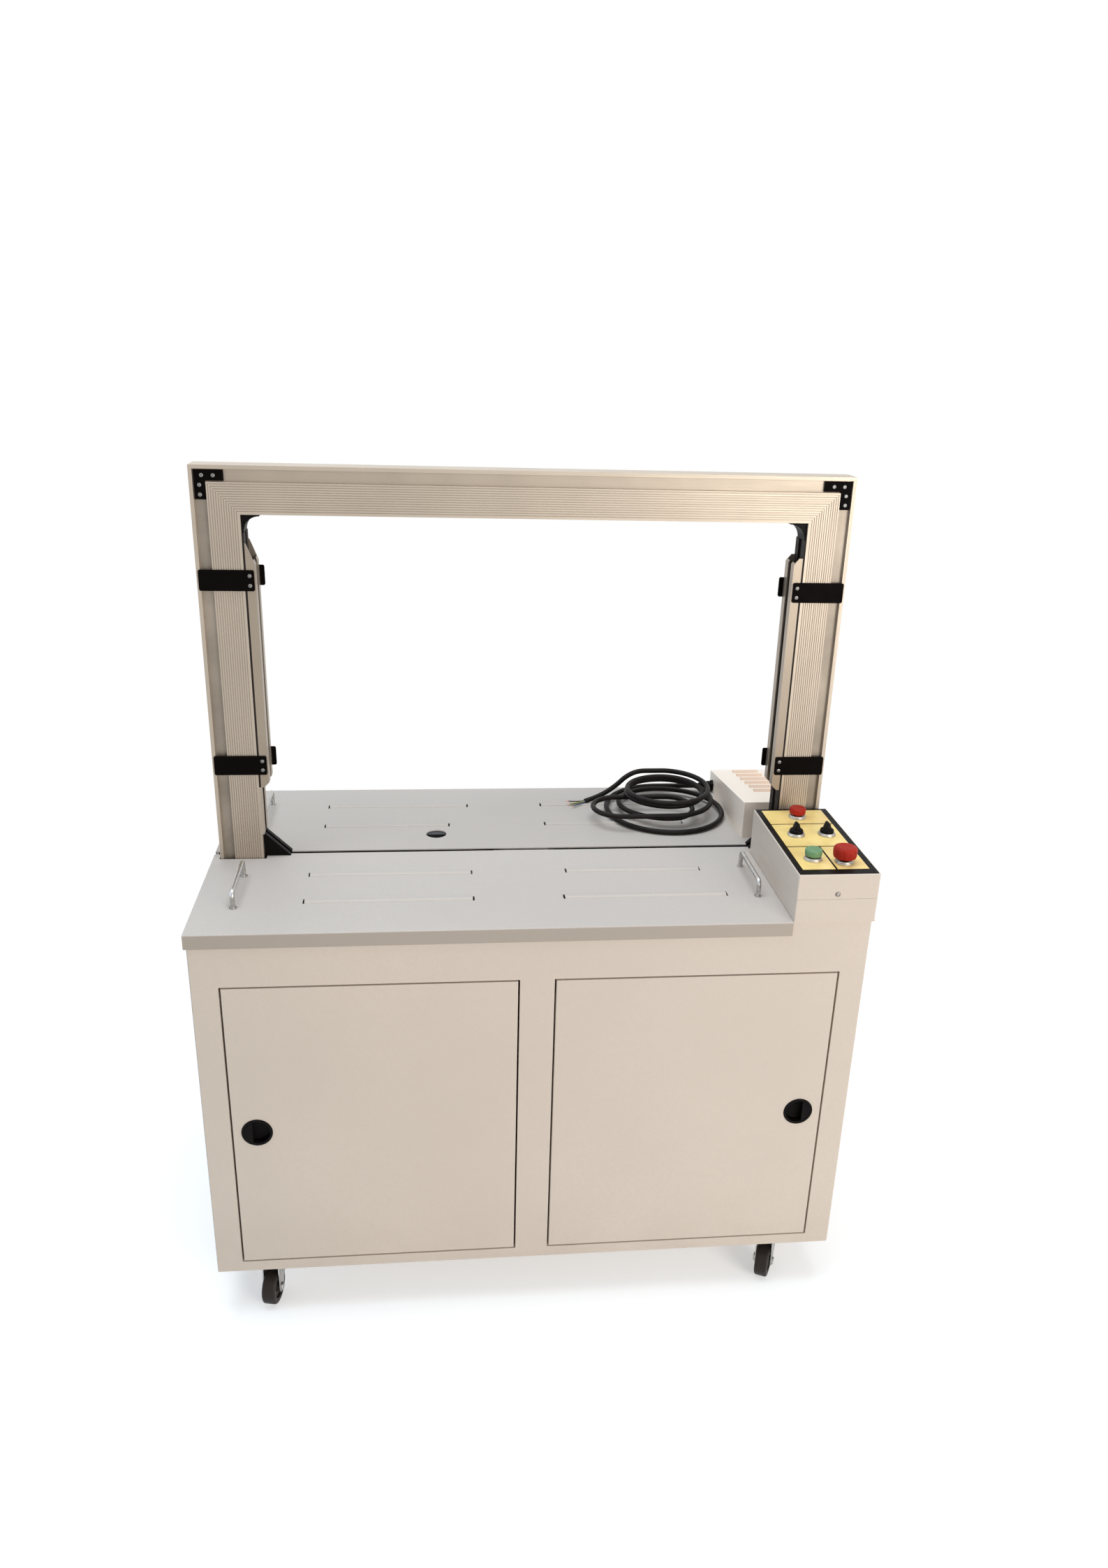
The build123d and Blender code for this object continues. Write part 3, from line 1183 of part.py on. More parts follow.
def coil_stations():
    """The points at the back and the front of each turn of the cord."""
    backs = [(COIL_X, y, TABLE_Z + h) for y, h in zip(COIL_BACK_Y, COIL_BACK_H)]
    fronts = [(COIL_X, y, TABLE_Z + h) for y, h in zip(COIL_FRONT_Y, COIL_FRONT_H)]
    return backs, fronts


def coil_path():
    """One line: straight from the gland, then turns of uneven size that climb on each other."""
    backs, fronts = coil_stations()
    edges = [Line((WALL_X - GLAND_L, backs[0][1], backs[0][2]), backs[0])]
    for i, front in enumerate(fronts):
        back = backs[i]
        if i == BIGHT_TURN:
            far_back = (back[0] - BIGHT_L, back[1], back[2])
            far_front = (front[0] - BIGHT_L, front[1], front[2])
            edges.append(Line(back, far_back))
            edges.append(half_turn(far_back, far_front, -1))
            edges.append(Line(far_front, front))
        else:
            edges.append(half_turn(back, front, -1))
        edges.append(half_turn(front, backs[i + 1], 1))
    edges.append(Line(backs[-1], coil_end()))
    return edges


def coil_end():
    """Where the coil runs out straight and the free end begins."""
    return (COIL_X - COIL_END_L, COIL_BACK_Y[-1], TABLE_Z + COIL_BACK_H[-1])


def least_gap(edges, diameter):
    """The least gap between two stretches of a tube, measured on points along its line."""
    points = []
    along = []
    total = 0.0
    for edge in edges:
        count = max(2, int(edge.length / 6))
        for k in range(count):
            points.append(tuple(edge @ (k / count)))
            along.append(total + edge.length * k / count)
        total += edge.length
    near = 4 * diameter
    return min(dist(points[i], points[j]) - diameter for i in range(len(points))
               for j in range(i + 1, len(points)) if along[j] - along[i] > near), total


def power_cord_coil():
    """The lead from the gland and the loose coil on the rear table plate, as one tube."""
    edges = coil_path()
    gap, length = least_gap(edges, CORD_D)
    print(f"cord coil: length {length:.0f} mm, least gap to itself {gap:.2f} mm")
    path = Wire(edges)
    start = path @ 0
    tube = sweep(Plane(origin=start, z_dir=path % 0) * Circle(CORD_D / 2), path=path)
    print(f"cord coil: volume over section times length {tube.volume / (pi * CORD_D ** 2 / 4 * length):.4f}")
    return tube


def power_cord_tail():
    """The free end of the cord from the top of the coil to the table, with its three bare conductors."""
    points = [coil_end()] + TAIL_POINTS
    radii = []
    for i in range(1, len(points) - 1):
        before = Vector(*points[i]) - Vector(*points[i - 1])
        after = Vector(*points[i + 1]) - Vector(*points[i])
        half = radians(before.get_angle(after)) / 2
        shorter = min(before.length, after.length)
        radii.append(0.45 * shorter / (sin(half) / cos(half)))
    print("cord tail radii:", [round(r) for r in radii])
    path = FilletPolyline(*points, radius=radii)
    tube = sweep(Plane(origin=points[0], z_dir=path % 0) * Circle(CORD_D / 2), path=path)
    print(f"cord tail: length {path.length:.0f} mm, volume over section times length "
          f"{tube.volume / (pi * CORD_D ** 2 / 4 * path.length):.4f}")
    return [tube] + [conductor(points, splay) for splay in WIRE_SPLAY]


def conductor(points, splay):
    """One conductor: straight out of the cord's end, then level and splayed over the table's bead."""
    end = Vector(*points[-1])
    way = (end - Vector(*points[-2])).normalized()
    across = Vector(-way.Y, way.X, 0).normalized() * (WIRE_SPREAD * splay / max(WIRE_SPLAY))
    turn = atan2(way.Y, way.X) + radians(splay)
    start = end + across
    knee = start + way * WIRE_L / 4
    tip = knee + Vector(cos(turn), sin(turn), 0) * WIRE_L
    tip = Vector(tip.X, tip.Y, TABLE_Z + BEAD_H + WIRE_R + JOINT_GAP)
    path = FilletPolyline(start, knee, tip, radius=3 * WIRE_R)
    return sweep(Plane(origin=start, z_dir=path % 0) * Circle(WIRE_R), path=path)


def cord_gland():
    """Cable gland in the wall of the vent cover: nut, collar and a tapered sleeve that the cord leaves."""
    y = COIL_BACK_Y[0]
    z = TABLE_Z + COIL_BACK_H[0]
    out = (-1, 0, 0)
    nut = extrude(Plane(origin=(WALL_X, y, z), z_dir=out) * RegularPolygon(GLAND_R + 1, 6), GLAND_NUT)
    collar = rod((WALL_X - GLAND_NUT, y, z), out, GLAND_R, GLAND_COLLAR)
    collar = fillet(collar.edges().group_by(Axis.X)[0], 2)
    sleeve_l = GLAND_L - GLAND_NUT - GLAND_COLLAR
    base = Plane(origin=(WALL_X - GLAND_NUT - GLAND_COLLAR, y, z), z_dir=out)
    sleeve = base * Cone(GLAND_R - 1.5, GLAND_TIP_R, sleeve_l, align=(Align.CENTER, Align.CENTER, Align.MIN))
    return nut + collar + sleeve


def main():
    os.makedirs("parts", exist_ok=True)
    save(front_frame(), "front_frame")
    save(rear_panel(), "rear_panel")
    save(side_panel(-1), "left_side_panel")
    save(side_panel(1), "right_side_panel")
    save(floor_panel(), "floor_panel")
    save(table_support(), "table_support_frame")
    save(front_table_plate(), "front_table_plate")
    save(rear_table_plate(), "rear_table_plate")
    save([bow_handle(x, y) for x, y in HANDLE_FRONT], "front_table_handles")
    save([bow_handle(x, y) for x, y in HANDLE_REAR], "rear_table_handle")
    for side, name in ((-1, "left"), (1, "right")):
        save(door(side), f"{name}_door")
        save(door_pull(side), f"{name}_door_pull")
        save(arch_post(side), f"arch_{name}_post")
    save(door_hinge_pins() + door_catches(), "door_fittings")
    save(arch_top_beam(), "arch_top_beam")
    save(strap_gates(), "strap_gates")
    save(corner_brackets(), "corner_brackets")
    save(corner_guides(), "corner_guides")
    save(guard_rails(), "guard_rails")
    save(rail_clamps(), "rail_clamps")
    save(arch_screws(), "arch_screws")
    save(control_housing(), "control_housing")
    save(control_cover(), "control_cover")
    save(panel_frame(), "panel_frame")
    save(panel_fields(), "panel_fields")
    save(button_bezels(), "button_bezels")
    save(push_cap(RED_XY), "red_button")
    save(push_cap(GREEN_XY), "green_button")
    save(estop_stem(), "estop_stem")
    save(estop_head(), "estop_head")
    save(selector_knob(KNOB_LEFT_XY), "left_selector")
    save(selector_knob(KNOB_RIGHT_XY), "right_selector")
    save(vent_cover(), "vent_cover")
    save(caster_plates(), "caster_plates")
    names = ("front_left", "front_right", "rear_left", "rear_right")
    for name, (x, y, turn) in zip(names, caster_places()):
        save(caster_fork(x, y, turn), f"{name}_caster_fork")
        save(caster_wheel(x, y, turn), f"{name}_caster_wheel")
    save(reel(), "strap_reel")
    save(reel_spindle(), "reel_spindle")
    save(head_frame(), "head_frame")
    save(slide_plate(), "slide_plate")
    for name, x in zip(("left_gripper", "press_head", "right_gripper"), PRESS_X):
        save(press(x, "gripper" in name), name)
    save(camshaft(), "camshaft")
    save(feed_roller(), "feed_roller")
    save(pinch_roller(), "pinch_roller")
    save(drive_motors(), "drive_motors")
    save(electrical_gear(), "electrical_gear")
    save(cord_gland(), "cord_gland")
    save(power_cord_coil(), "power_cord_coil")
    save(power_cord_tail(), "power_cord_tail")


main()
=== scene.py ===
"""Arch strapping machine: finishes, fine pieces, power cord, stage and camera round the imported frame.

Metres. +X is to the right seen from the front, +Y to the back, +Z up, as in the frame.
"""
import json
import math

import bmesh
import bpy
from bpy.props import FloatProperty, FloatVectorProperty, IntProperty, PointerProperty
from mathutils import Matrix, Vector


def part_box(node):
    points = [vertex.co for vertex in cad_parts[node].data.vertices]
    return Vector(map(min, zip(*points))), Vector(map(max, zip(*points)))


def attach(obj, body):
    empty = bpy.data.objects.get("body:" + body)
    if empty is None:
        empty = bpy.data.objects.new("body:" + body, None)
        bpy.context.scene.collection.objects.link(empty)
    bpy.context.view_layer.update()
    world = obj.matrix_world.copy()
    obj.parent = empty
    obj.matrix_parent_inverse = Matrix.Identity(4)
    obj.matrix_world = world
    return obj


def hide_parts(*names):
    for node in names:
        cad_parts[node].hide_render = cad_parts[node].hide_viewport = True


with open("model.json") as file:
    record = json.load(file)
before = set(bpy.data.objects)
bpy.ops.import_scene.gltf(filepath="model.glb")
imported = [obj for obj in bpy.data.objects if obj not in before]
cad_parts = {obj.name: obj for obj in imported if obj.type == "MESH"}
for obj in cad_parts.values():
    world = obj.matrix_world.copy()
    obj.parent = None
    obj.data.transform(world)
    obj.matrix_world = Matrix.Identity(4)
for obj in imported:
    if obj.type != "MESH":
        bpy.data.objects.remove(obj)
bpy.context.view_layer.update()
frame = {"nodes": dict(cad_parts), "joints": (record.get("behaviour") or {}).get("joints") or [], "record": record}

bl_info = {
    "name": "Strapping machine",
    "version": (1, 0, 0),
    "blender": (4, 5, 0),
    "location": "View3D > Sidebar > Strapper",
    "description": "Finishes, fine pieces, power cord and stage of an arch strapping machine",
    "category": "Object",
}

MM = 0.001
UP = Vector((0, 0, 1))
RIGHT = Vector((1, 0, 0))
FRONT = Vector((0, -1, 0))
SHARP_ANGLE = math.radians(32)

# Arch profile, in metres: its ribs and the recess beside them, from the middle of the machine outwards; the
# anodised finish darkens their floors as painted shade and soil
RIBS = (0.4684, 0.5178)
RECESS = (0.5180, 0.5380)
RIBS_UP = (1.3654, 1.4148)
RECESS_UP = (1.4150, 1.4350)
GROOVE_FLOOR = 0.0240
RAIL_LOW = 0.9000

# Louvre hoods of the vent cover, in metres: ends along X, front edge of the first, step and depth along Y; they
# place the painted warm shade on the hoods' front slopes
HOOD_ENDS = (0.4622, 0.5153)
HOOD_FIRST = 0.1220
HOOD_STEP = 0.0332
HOOD_LAST = 0.3010
HOOD_DEPTH = 0.0100

# Top of the painted shade band on the table's turned-down lip, the rear plate's paint made darker as painted
# shade, and the vent cover's made lighter as painted light
LIP_SHADE_TOP = 0.7640
REAR_TABLE_PAINTED_SHADE = 0.91
VENT_PAINTED_LIGHT = 1.48

# Drawn lines of the aluminium: noise scale along each axis, long in the direction of drawing
UPRIGHT_LINES = (1500.0, 1500.0, 5.0)
BEAM_LINES = (5.0, 1500.0, 1500.0)
RAIL_LINES = (1800.0, 1800.0, 4.0)

# Strips of the left post, in metres: where their bare metal ends, and half the width of the strap slot
BARE_SIDE = (-0.4600, -0.4500)
SLOT_HALF = (0.0080, 0.0083)

# Screw heads: rings from the rim to the socket's floor, as shares of the radius and of the height
SOCKET = 0.50
SCREW_RINGS = ((1.0, 0.45), (0.90, 0.80), (0.66, 1.0), (SOCKET, 1.0), (SOCKET, 0.40))

# Screws, in metres: the one in the front of the control box's cover, and the rear cover's heads
COVER_SCREW = (0.48875, -0.3184, 0.8140)
COVER_SCREW_RADIUS = 0.0042
COVER_SCREW_H = 0.0022
REAR_SCREW_MAX = 0.02
REAR_SCREW_PROUD = 0.0005
REAR_SCREW_H = 0.00145

# Camera, fitted to the photograph's straight edges
CAMERA_PLACE = (-0.1670, -2.0107, 1.6368)
CAMERA_YAW = math.radians(6.676)
CAMERA_PITCH = math.radians(-21.992)
CAMERA_ROLL = math.radians(1.814)
CAMERA_LENS = 27.26
CAMERA_SHIFT = (-0.0049, 0.0237)

# Power cord, in millimetres: the route of the CAD source, moved up to 15 mm towards the photographed coil
COIL_X = 297.0
TABLE_Z = 765.0
COIL_BACK_Y = (292.0, 279.0, 190.0, 262.0, 250.0, 258.0)
COIL_FRONT_Y = (56.0, 96.0, 84.0, 106.0, 94.0)
COIL_BACK_H = (13.0, 11.5, 27.5, 38.5, 49.0, 59.0)
COIL_FRONT_H = (5.4, 18.0, 28.0, 39.0, 50.0)
BIGHT_TURN = 2
BIGHT_L = 98.0
GLAND_WALL_X = 420.0
GLAND_L = 30.0
COIL_END_L = 12.0
TAIL_POINTS = ((252.0, 258.0, 824.0), (228.0, 256.0, 813.0), (208.0, 248.0, 797.0),
               (186.0, 241.0, 784.0), (163.0, 234.0, 775.0), (141.0, 227.0, 770.4))
WIRE_L = 32.0
WIRE_SPLAY = (-26.0, 2.0, 27.0)
WIRE_SPREAD = 3.0
WIRE_H = 4.1
KNEE_SHARE = 0.25
TIP_SHARE = 0.78
BARE_SHARE = 0.20
BARE_THICK = 0.27
ARC_STEP = math.radians(30)
ARC_REACH = 1 / math.cos(ARC_STEP / 2)

# Gland, in millimetres
NUT_RADIUS = 12.2
NUT_L = 5.0
NUT_ROUND = 0.8
SLEEVE_RIBS = 6
RIB_STEP = 2.7
RIB_TAPER = 0.27

# Lamps: the setting of the power, then place and size in metres, and colour
LAMPS = (("key", (2.0, -3.1, 1.5), 1.8, (1.0, 0.940, 0.860)),
         ("fill", (-3.4, -0.15, 1.45), 2.0, (0.40, 0.68, 1.0)),
         ("top", (-0.3, 0.1, 4.0), 3.0, (0.84, 0.93, 1.0)))
LAMP_AIM = Vector((0, 0, 0.75))

# Floor, in metres: half its side, the ring where the shadow fades to white, and the lift of its near part
FLOOR_HALF = 9.0
FADE_START = 0.9
FADE_END = 2.0
FLOOR_GLOW = 0.42

# Door pulls, in millimetres: radius of the well, rim above the door, and the finger lip across the well
PULL_WELL = 20.9
PULL_PROUD = 2.0
PULL_LIP_X = 7.0
PULL_LIP_Y = 19.6
PULL_LIP_T = 1.8
PULL_LIP_SUNK = 0.4
PULL_LIP_FACETS = 14

# Selectors, in millimetres: the grip's width is a share that falls by the taper to its top
SELECTOR_TOP = 17.0
GRIP_H = 14.0
GRIP_FOOT = 3.0
GRIP_HALF = 3.5
GRIP_WIDE = 1.9
GRIP_TAPER = 1.15
GRIP_LEAN_FROM = 10.0
GRIP_LEAN = 0.22
GRIP_ROUND = 0.7

# Flutes of the stop mushroom: number, inner radius and plain top in millimetres, depth and cut as shares
FLUTES = 12
FLUTE_FROM = 18.8
FLUTE_TOP = 3.0
FLUTE_DEPTH = 0.055
FLUTE_FLAT = 0.2

# Casters, in millimetres
WHEEL_HALF = 12.0
CHEEK_IN = 13.5
CHEEK_T = 2.5
CROWN_DROP = 9.0


def colour(name, about, default):
    """A colour setting with its description."""
    return FloatVectorProperty(name=name, description=about, default=default, subtype="COLOR",
                               size=3, min=0.0, max=1.0)


def length(name, about, default):
    """A length setting in metres with its description."""
    return FloatProperty(name=name, description=about, default=default, unit="LENGTH", min=0.0)


def share(name, about, default):
    """A plain factor between 0 and 1 with its description."""
    return FloatProperty(name=name, description=about, default=default, subtype="FACTOR", min=0.0, max=1.0)


def watts(name, about, default):
    """A lamp's power in watts with its description."""
    return FloatProperty(name=name, description=about, default=default, unit="POWER", min=0.0)


class CabinetSettings(bpy.types.PropertyGroup):
    """Painted sheet metal"""

    cream: colour("Cream", "Powder coat of the cabinet, the control box and the vent cover",
                  (0.668, 0.572, 0.486))
    table: colour("Table", "Semi-gloss paint of the table plates", (0.590, 0.530, 0.485))
    support: colour("Support", "Paint of the beams and brackets inside", (0.030, 0.032, 0.035))
    gloss: share("Roughness", "Roughness of the powder coat", 0.42)
    peel: length("Orange peel", "Height of the powder coat's fine texture", 0.00006)


class ArchSettings(bpy.types.PropertyGroup):
    """Aluminium arch, its guard rails and its screws"""

    aluminium: colour("Aluminium", "Anodised arch profile", (0.500, 0.426, 0.347))
    rail: colour("Rail", "Anodised guard rails", (0.365, 0.303, 0.238))
    satin: share("Roughness", "Roughness of the anodised faces", 0.42)
    screw_radius: length("Screw radius", "Head radius of the screws on the arch", 0.0034)


class ControlSettings(bpy.types.PropertyGroup):
    """Panel, buttons and selectors"""

    yellow: colour("Yellow", "Film on the control panel", (1.000, 0.700, 0.250))
    red: colour("Red", "Stop buttons", (0.375, 0.022, 0.012))
    green: colour("Green", "Start button", (0.155, 0.300, 0.145))
    black: colour("Black", "Moulded black pieces", (0.0024, 0.0014, 0.0012))
    cap_segments: IntProperty(name="Segments", description="Segments round the buttons", default=48,
                              min=12, max=96)


class CasterSettings(bpy.types.PropertyGroup):
    """Forks and wheels"""

    zinc: colour("Zinc", "Plated forks and small steel pieces", (0.420, 0.415, 0.405))
    wheel: colour("Wheel", "Moulded wheels", (0.024, 0.018, 0.015))
    tread_round: length("Tread round", "Rounding of the tread's edges", 0.004)


class CordSettings(bpy.types.PropertyGroup):
    """Power cord and its conductors"""

    diameter: length("Diameter", "Outer diameter of the power cord", 0.010)
    wire: length("Conductor diameter", "Diameter of one insulated conductor", 0.0026)
    rubber: colour("Rubber", "Sheath of the cord", (0.0075, 0.0055, 0.0050))


class StageSettings(bpy.types.PropertyGroup):
    """Light and floor round the machine"""

    ambient: FloatProperty(name="Ambient", description="Level of the soft light from all round",
                           default=0.38, min=0.0)
    key: watts("Key", "Power of the lamp at the right front", 71.0)
    fill: watts("Fill", "Power of the lamp at the left", 22.0)
    top: watts("Top", "Power of the lamp above", 104.0)
    tint: colour("Tint", "Colour of the soft light from all round", (0.90, 0.95, 1.0))
    floor: colour("Floor", "Colour of the floor", (0.80, 0.80, 0.80))


class Finish:
    """One procedural finish: nodes on Object coordinates that feed a Principled shader."""

    def __init__(self, name, **sockets):
        self.material = bpy.data.materials.new(name)
        self.material.use_nodes = True
        self.tree = self.material.node_tree
        self.shader = self.tree.nodes["Principled BSDF"]
        self.place = self.add("ShaderNodeTexCoord").outputs["Object"]
        for key, value in sockets.items():
            self.shader.inputs[key.replace("_", " ")].default_value = value

    def add(self, kind, **inputs):
        """A node with its inputs set to values or linked to sockets."""
        node = self.tree.nodes.new(kind)
        for key, value in inputs.items():
            self.feed(node.inputs[key.replace("_", " ")], value)
        return node

    def feed(self, socket, value):
        """Links a socket, or sets a plain value."""
        if isinstance(value, bpy.types.NodeSocket):
            self.tree.links.new(value, socket)
        else:
            socket.default_value = value

    def noise(self, scale, detail, stretch=None):
        """Soft noise, scaled along each axis if that is given."""
        vector = self.place
        if stretch:
            vector = self.add("ShaderNodeMapping", Vector=self.place, Scale=stretch).outputs["Vector"]
        return self.add("ShaderNodeTexNoise", Vector=vector, Scale=scale, Detail=detail).outputs["Fac"]

    def cells(self, scale):
        """Colours of irregular cells."""
        return self.add("ShaderNodeTexVoronoi", Vector=self.place, Scale=scale).outputs["Color"]

    def spread(self, value, low, high, to_low=0.0, to_high=1.0):
        """A value moved from one range to another and held in it."""
        node = self.add("ShaderNodeMapRange", Value=value, From_Min=low, From_Max=high,
                        To_Min=to_low, To_Max=to_high)
        return node.outputs["Result"]

    def math(self, operation, a, b=0.0):
        """The outcome of a math operation on one or two values."""
        node = self.tree.nodes.new("ShaderNodeMath")
        node.operation = operation
        self.feed(node.inputs[0], a)
        self.feed(node.inputs[1], b)
        return node.outputs["Value"]

    def mixed(self, factor, a, b):
        """A colour between two, by a factor."""
        node = self.tree.nodes.new("ShaderNodeMix")
        node.data_type = "RGBA"
        self.feed(node.inputs[0], factor)
        self.feed(node.inputs[6], a if isinstance(a, bpy.types.NodeSocket) else (*a, 1.0))
        self.feed(node.inputs[7], b if isinstance(b, bpy.types.NodeSocket) else (*b, 1.0))
        return node.outputs[2]

    def blended(self, factor, a, b):
        """A shader between two, by a factor."""
        node = self.tree.nodes.new("ShaderNodeMixShader")
        for socket, value in zip(node.inputs, (factor, a, b)):
            self.feed(socket, value)
        return node.outputs[0]

    def axis(self, name):
        """One of the Object coordinates, X, Y or Z."""
        return self.add("ShaderNodeSeparateXYZ", Vector=self.place).outputs[name]

    def base(self, value):
        """Sets the base colour."""
        self.feed(self.shader.inputs["Base Color"], value)

    def rough(self, value):
        """Sets the roughness."""
        self.feed(self.shader.inputs["Roughness"], value)

    def bump(self, height, distance, strength):
        """Fine relief on the surface."""
        node = self.add("ShaderNodeBump", Height=height, Distance=distance, Strength=strength)
        self.feed(self.shader.inputs["Normal"], node.outputs["Normal"])


def scaled(tone, factor):
    """A colour made lighter or darker."""
    return tuple(min(1.0, part * factor) for part in tone)


def stained(tone, *shares):
    """A colour darkened by a share for each channel."""
    return tuple(part * left for part, left in zip(tone, shares))


def paint(name, tone, roughness, peel, grime, specular=0.35, lip=None, hoods=False):
    """Powder coat: orange peel, faint clouding, soil near the floor, painted shade on a lip, and painted warm
    shade on the louvre hoods' front slopes.
    """
    finish = Finish(name, Specular_IOR_Level=specular)
    cloud = finish.spread(finish.noise(2.6, 4.0), 0.35, 0.65)
    fleck = finish.spread(finish.noise(210.0, 2.0), 0.40, 0.62)
    body = finish.mixed(cloud, scaled(tone, 0.965), scaled(tone, 1.02))
    body = finish.mixed(finish.math("MULTIPLY", fleck, 0.30), body, scaled(tone, 0.93))
    low = finish.spread(finish.axis("Z"), 0.085, 0.24, 1.0, 0.0)
    soil = finish.math("MULTIPLY", low, finish.spread(finish.noise(9.0, 5.0), 0.38, 0.70))
    body = finish.mixed(finish.math("MULTIPLY", soil, grime), body, stained(tone, 0.55, 0.50, 0.42))
    # Painted warm shade: a brown band on each louvre hood's front slope
    if hoods:
        across, along = finish.axis("X"), finish.axis("Y")
        ends = finish.math("MULTIPLY", finish.math("GREATER_THAN", across, HOOD_ENDS[0]),
                           finish.math("LESS_THAN", across, HOOD_ENDS[1]))
        rows = finish.math("MULTIPLY", finish.math("GREATER_THAN", along, HOOD_FIRST),
                           finish.math("LESS_THAN", along, HOOD_LAST))
        step = finish.math("MODULO", finish.math("SUBTRACT", along, HOOD_FIRST), HOOD_STEP)
        slope = finish.spread(step, HOOD_DEPTH * 0.75, HOOD_DEPTH, 0.62, 0.0)
        hood_shade = finish.math("MULTIPLY", finish.math("MULTIPLY", ends, rows), slope)
        body = finish.mixed(hood_shade, body, stained(tone, 0.66, 0.44, 0.30))
    # Painted shade: the turned-down lip below the given top is made darker
    if lip:
        below = finish.spread(finish.axis("Z"), lip - 0.0015, lip, 0.75, 0.0)
        body = finish.mixed(below, body, stained(tone, 0.66, 0.62, 0.56))
    finish.base(body)
    finish.rough(finish.spread(finish.noise(14.0, 3.0), 0.30, 0.75, roughness - 0.04, roughness + 0.06))
    finish.bump(finish.noise(640.0, 2.0), peel, 0.55)
    return finish.material


def anodised(name, tone, roughness, draw, axis=None, ribs=None, recess=None, recess_shade_and_soil=0.5):
    """Anodised aluminium: fine drawn lines, soft clouding, and painted shade with soil darkening the groove floors
    and the recess.
    """
    finish = Finish(name, Metallic=0.65)
    lines = finish.noise(1.0, 3.0, draw)
    cloud = finish.spread(finish.noise(7.0, 3.0), 0.30, 0.70)
    body = finish.mixed(cloud, scaled(tone, 0.95), scaled(tone, 1.04))
    body = finish.mixed(finish.spread(lines, 0.35, 0.70, 0.0, 0.40), body, scaled(tone, 0.84))
    # Painted shade and soil: the groove floors and the recess below the face are darkened, the uprights' recess
    # most
    if axis:
        across = finish.math("ABSOLUTE", finish.axis(axis))
        deep = finish.spread(finish.math("ABSOLUTE", finish.axis("Y")), GROOVE_FLOOR + 0.0002,
                             GROOVE_FLOOR + 0.0008, 1.0, 0.0)
        soil = finish.spread(finish.noise(16.0, 4.0), 0.25, 0.75, 0.35, 0.70)
        for (near, far), part in ((ribs, 0.55), (recess, recess_shade_and_soil)):
            inside = finish.math("MULTIPLY", finish.spread(across, near, near + 0.0003),
                                 finish.spread(across, far - 0.0003, far, 1.0, 0.0))
            shade_and_soil = finish.math("MULTIPLY", finish.math("MULTIPLY", inside, deep),
                                 finish.math("MULTIPLY", soil, part))
            body = finish.mixed(shade_and_soil, body, scaled(tone, 0.35))
    finish.base(body)
    finish.rough(finish.spread(lines, 0.30, 0.70, roughness - 0.06, roughness + 0.10))
    finish.bump(lines, 0.00004, 0.35)
    return finish.material


def moulded(name, tone, roughness, grain=420.0, depth=0.00005, coat=0.0, specular=0.5):
    """Moulded plastic or film: fine spark grain, slight clouding and rubbed spots."""
    finish = Finish(name, Coat_Weight=coat, Coat_Roughness=0.12, Specular_IOR_Level=specular)
    cloud = finish.spread(finish.noise(26.0, 3.0), 0.35, 0.65)
    finish.base(finish.mixed(cloud, scaled(tone, 0.90), scaled(tone, 1.06)))
    finish.rough(finish.spread(finish.noise(60.0, 4.0), 0.30, 0.70, roughness - 0.05, roughness + 0.10))
    finish.bump(finish.noise(grain, 2.0), depth, 0.45)
    return finish.material


def gate_strip(name, tone, bare, roughness):
    """Dark strips beside the track, left bare metal below the rail of the left post."""
    finish = Finish(name, Specular_IOR_Level=0.15)
    low = finish.spread(finish.axis("Z"), RAIL_LOW - 0.0003, RAIL_LOW, 1.0, 0.0)
    left = finish.spread(finish.axis("X"), *BARE_SIDE, 1.0, 0.0)
    beside = finish.spread(finish.math("ABSOLUTE", finish.axis("Y")), *SLOT_HALF)
    bare_part = finish.math("MULTIPLY", finish.math("MULTIPLY", low, left), beside)
    cloud = finish.spread(finish.noise(26.0, 3.0), 0.35, 0.65)
    dark = finish.mixed(cloud, scaled(tone, 0.90), scaled(tone, 1.06))
    lines = finish.spread(finish.noise(1.0, 3.0, UPRIGHT_LINES), 0.30, 0.70)
    metal = finish.mixed(lines, scaled(bare, 0.80), scaled(bare, 1.02))
    finish.base(finish.mixed(bare_part, dark, metal))
    finish.rough(finish.spread(finish.noise(60.0, 4.0), 0.30, 0.70, roughness - 0.08, roughness + 0.06))
    finish.bump(finish.noise(420.0, 2.0), 0.00005, 0.45)
    return finish.material


def plated(name, tone, roughness, spangle):
    """Plated steel: crystal patches of slightly different tone, and fine haze."""
    finish = Finish(name, Metallic=1.0)
    grey = finish.add("ShaderNodeRGBToBW", Color=finish.cells(spangle)).outputs["Val"]
    body = finish.mixed(finish.spread(grey, 0.1, 0.9), scaled(tone, 0.86), scaled(tone, 1.10))
    finish.base(body)
    haze = finish.noise(45.0, 5.0)
    finish.rough(finish.spread(haze, 0.30, 0.72, max(0.03, roughness - 0.06), roughness + 0.10))
    finish.bump(haze, 0.00003, 0.25)
    return finish.material


def rubber(name, tone, roughness):
    """Rubber: dull bloom over a fine, slightly pitted skin."""
    finish = Finish(name, Specular_IOR_Level=0.12)
    bloom = finish.spread(finish.noise(48.0, 5.0), 0.42, 0.72)
    finish.base(finish.mixed(bloom, tone, scaled(tone, 2.1)))
    finish.rough(finish.spread(bloom, 0.0, 1.0, roughness - 0.08, roughness + 0.12))
    finish.bump(finish.noise(900.0, 3.0), 0.00007, 0.5)
    return finish.material


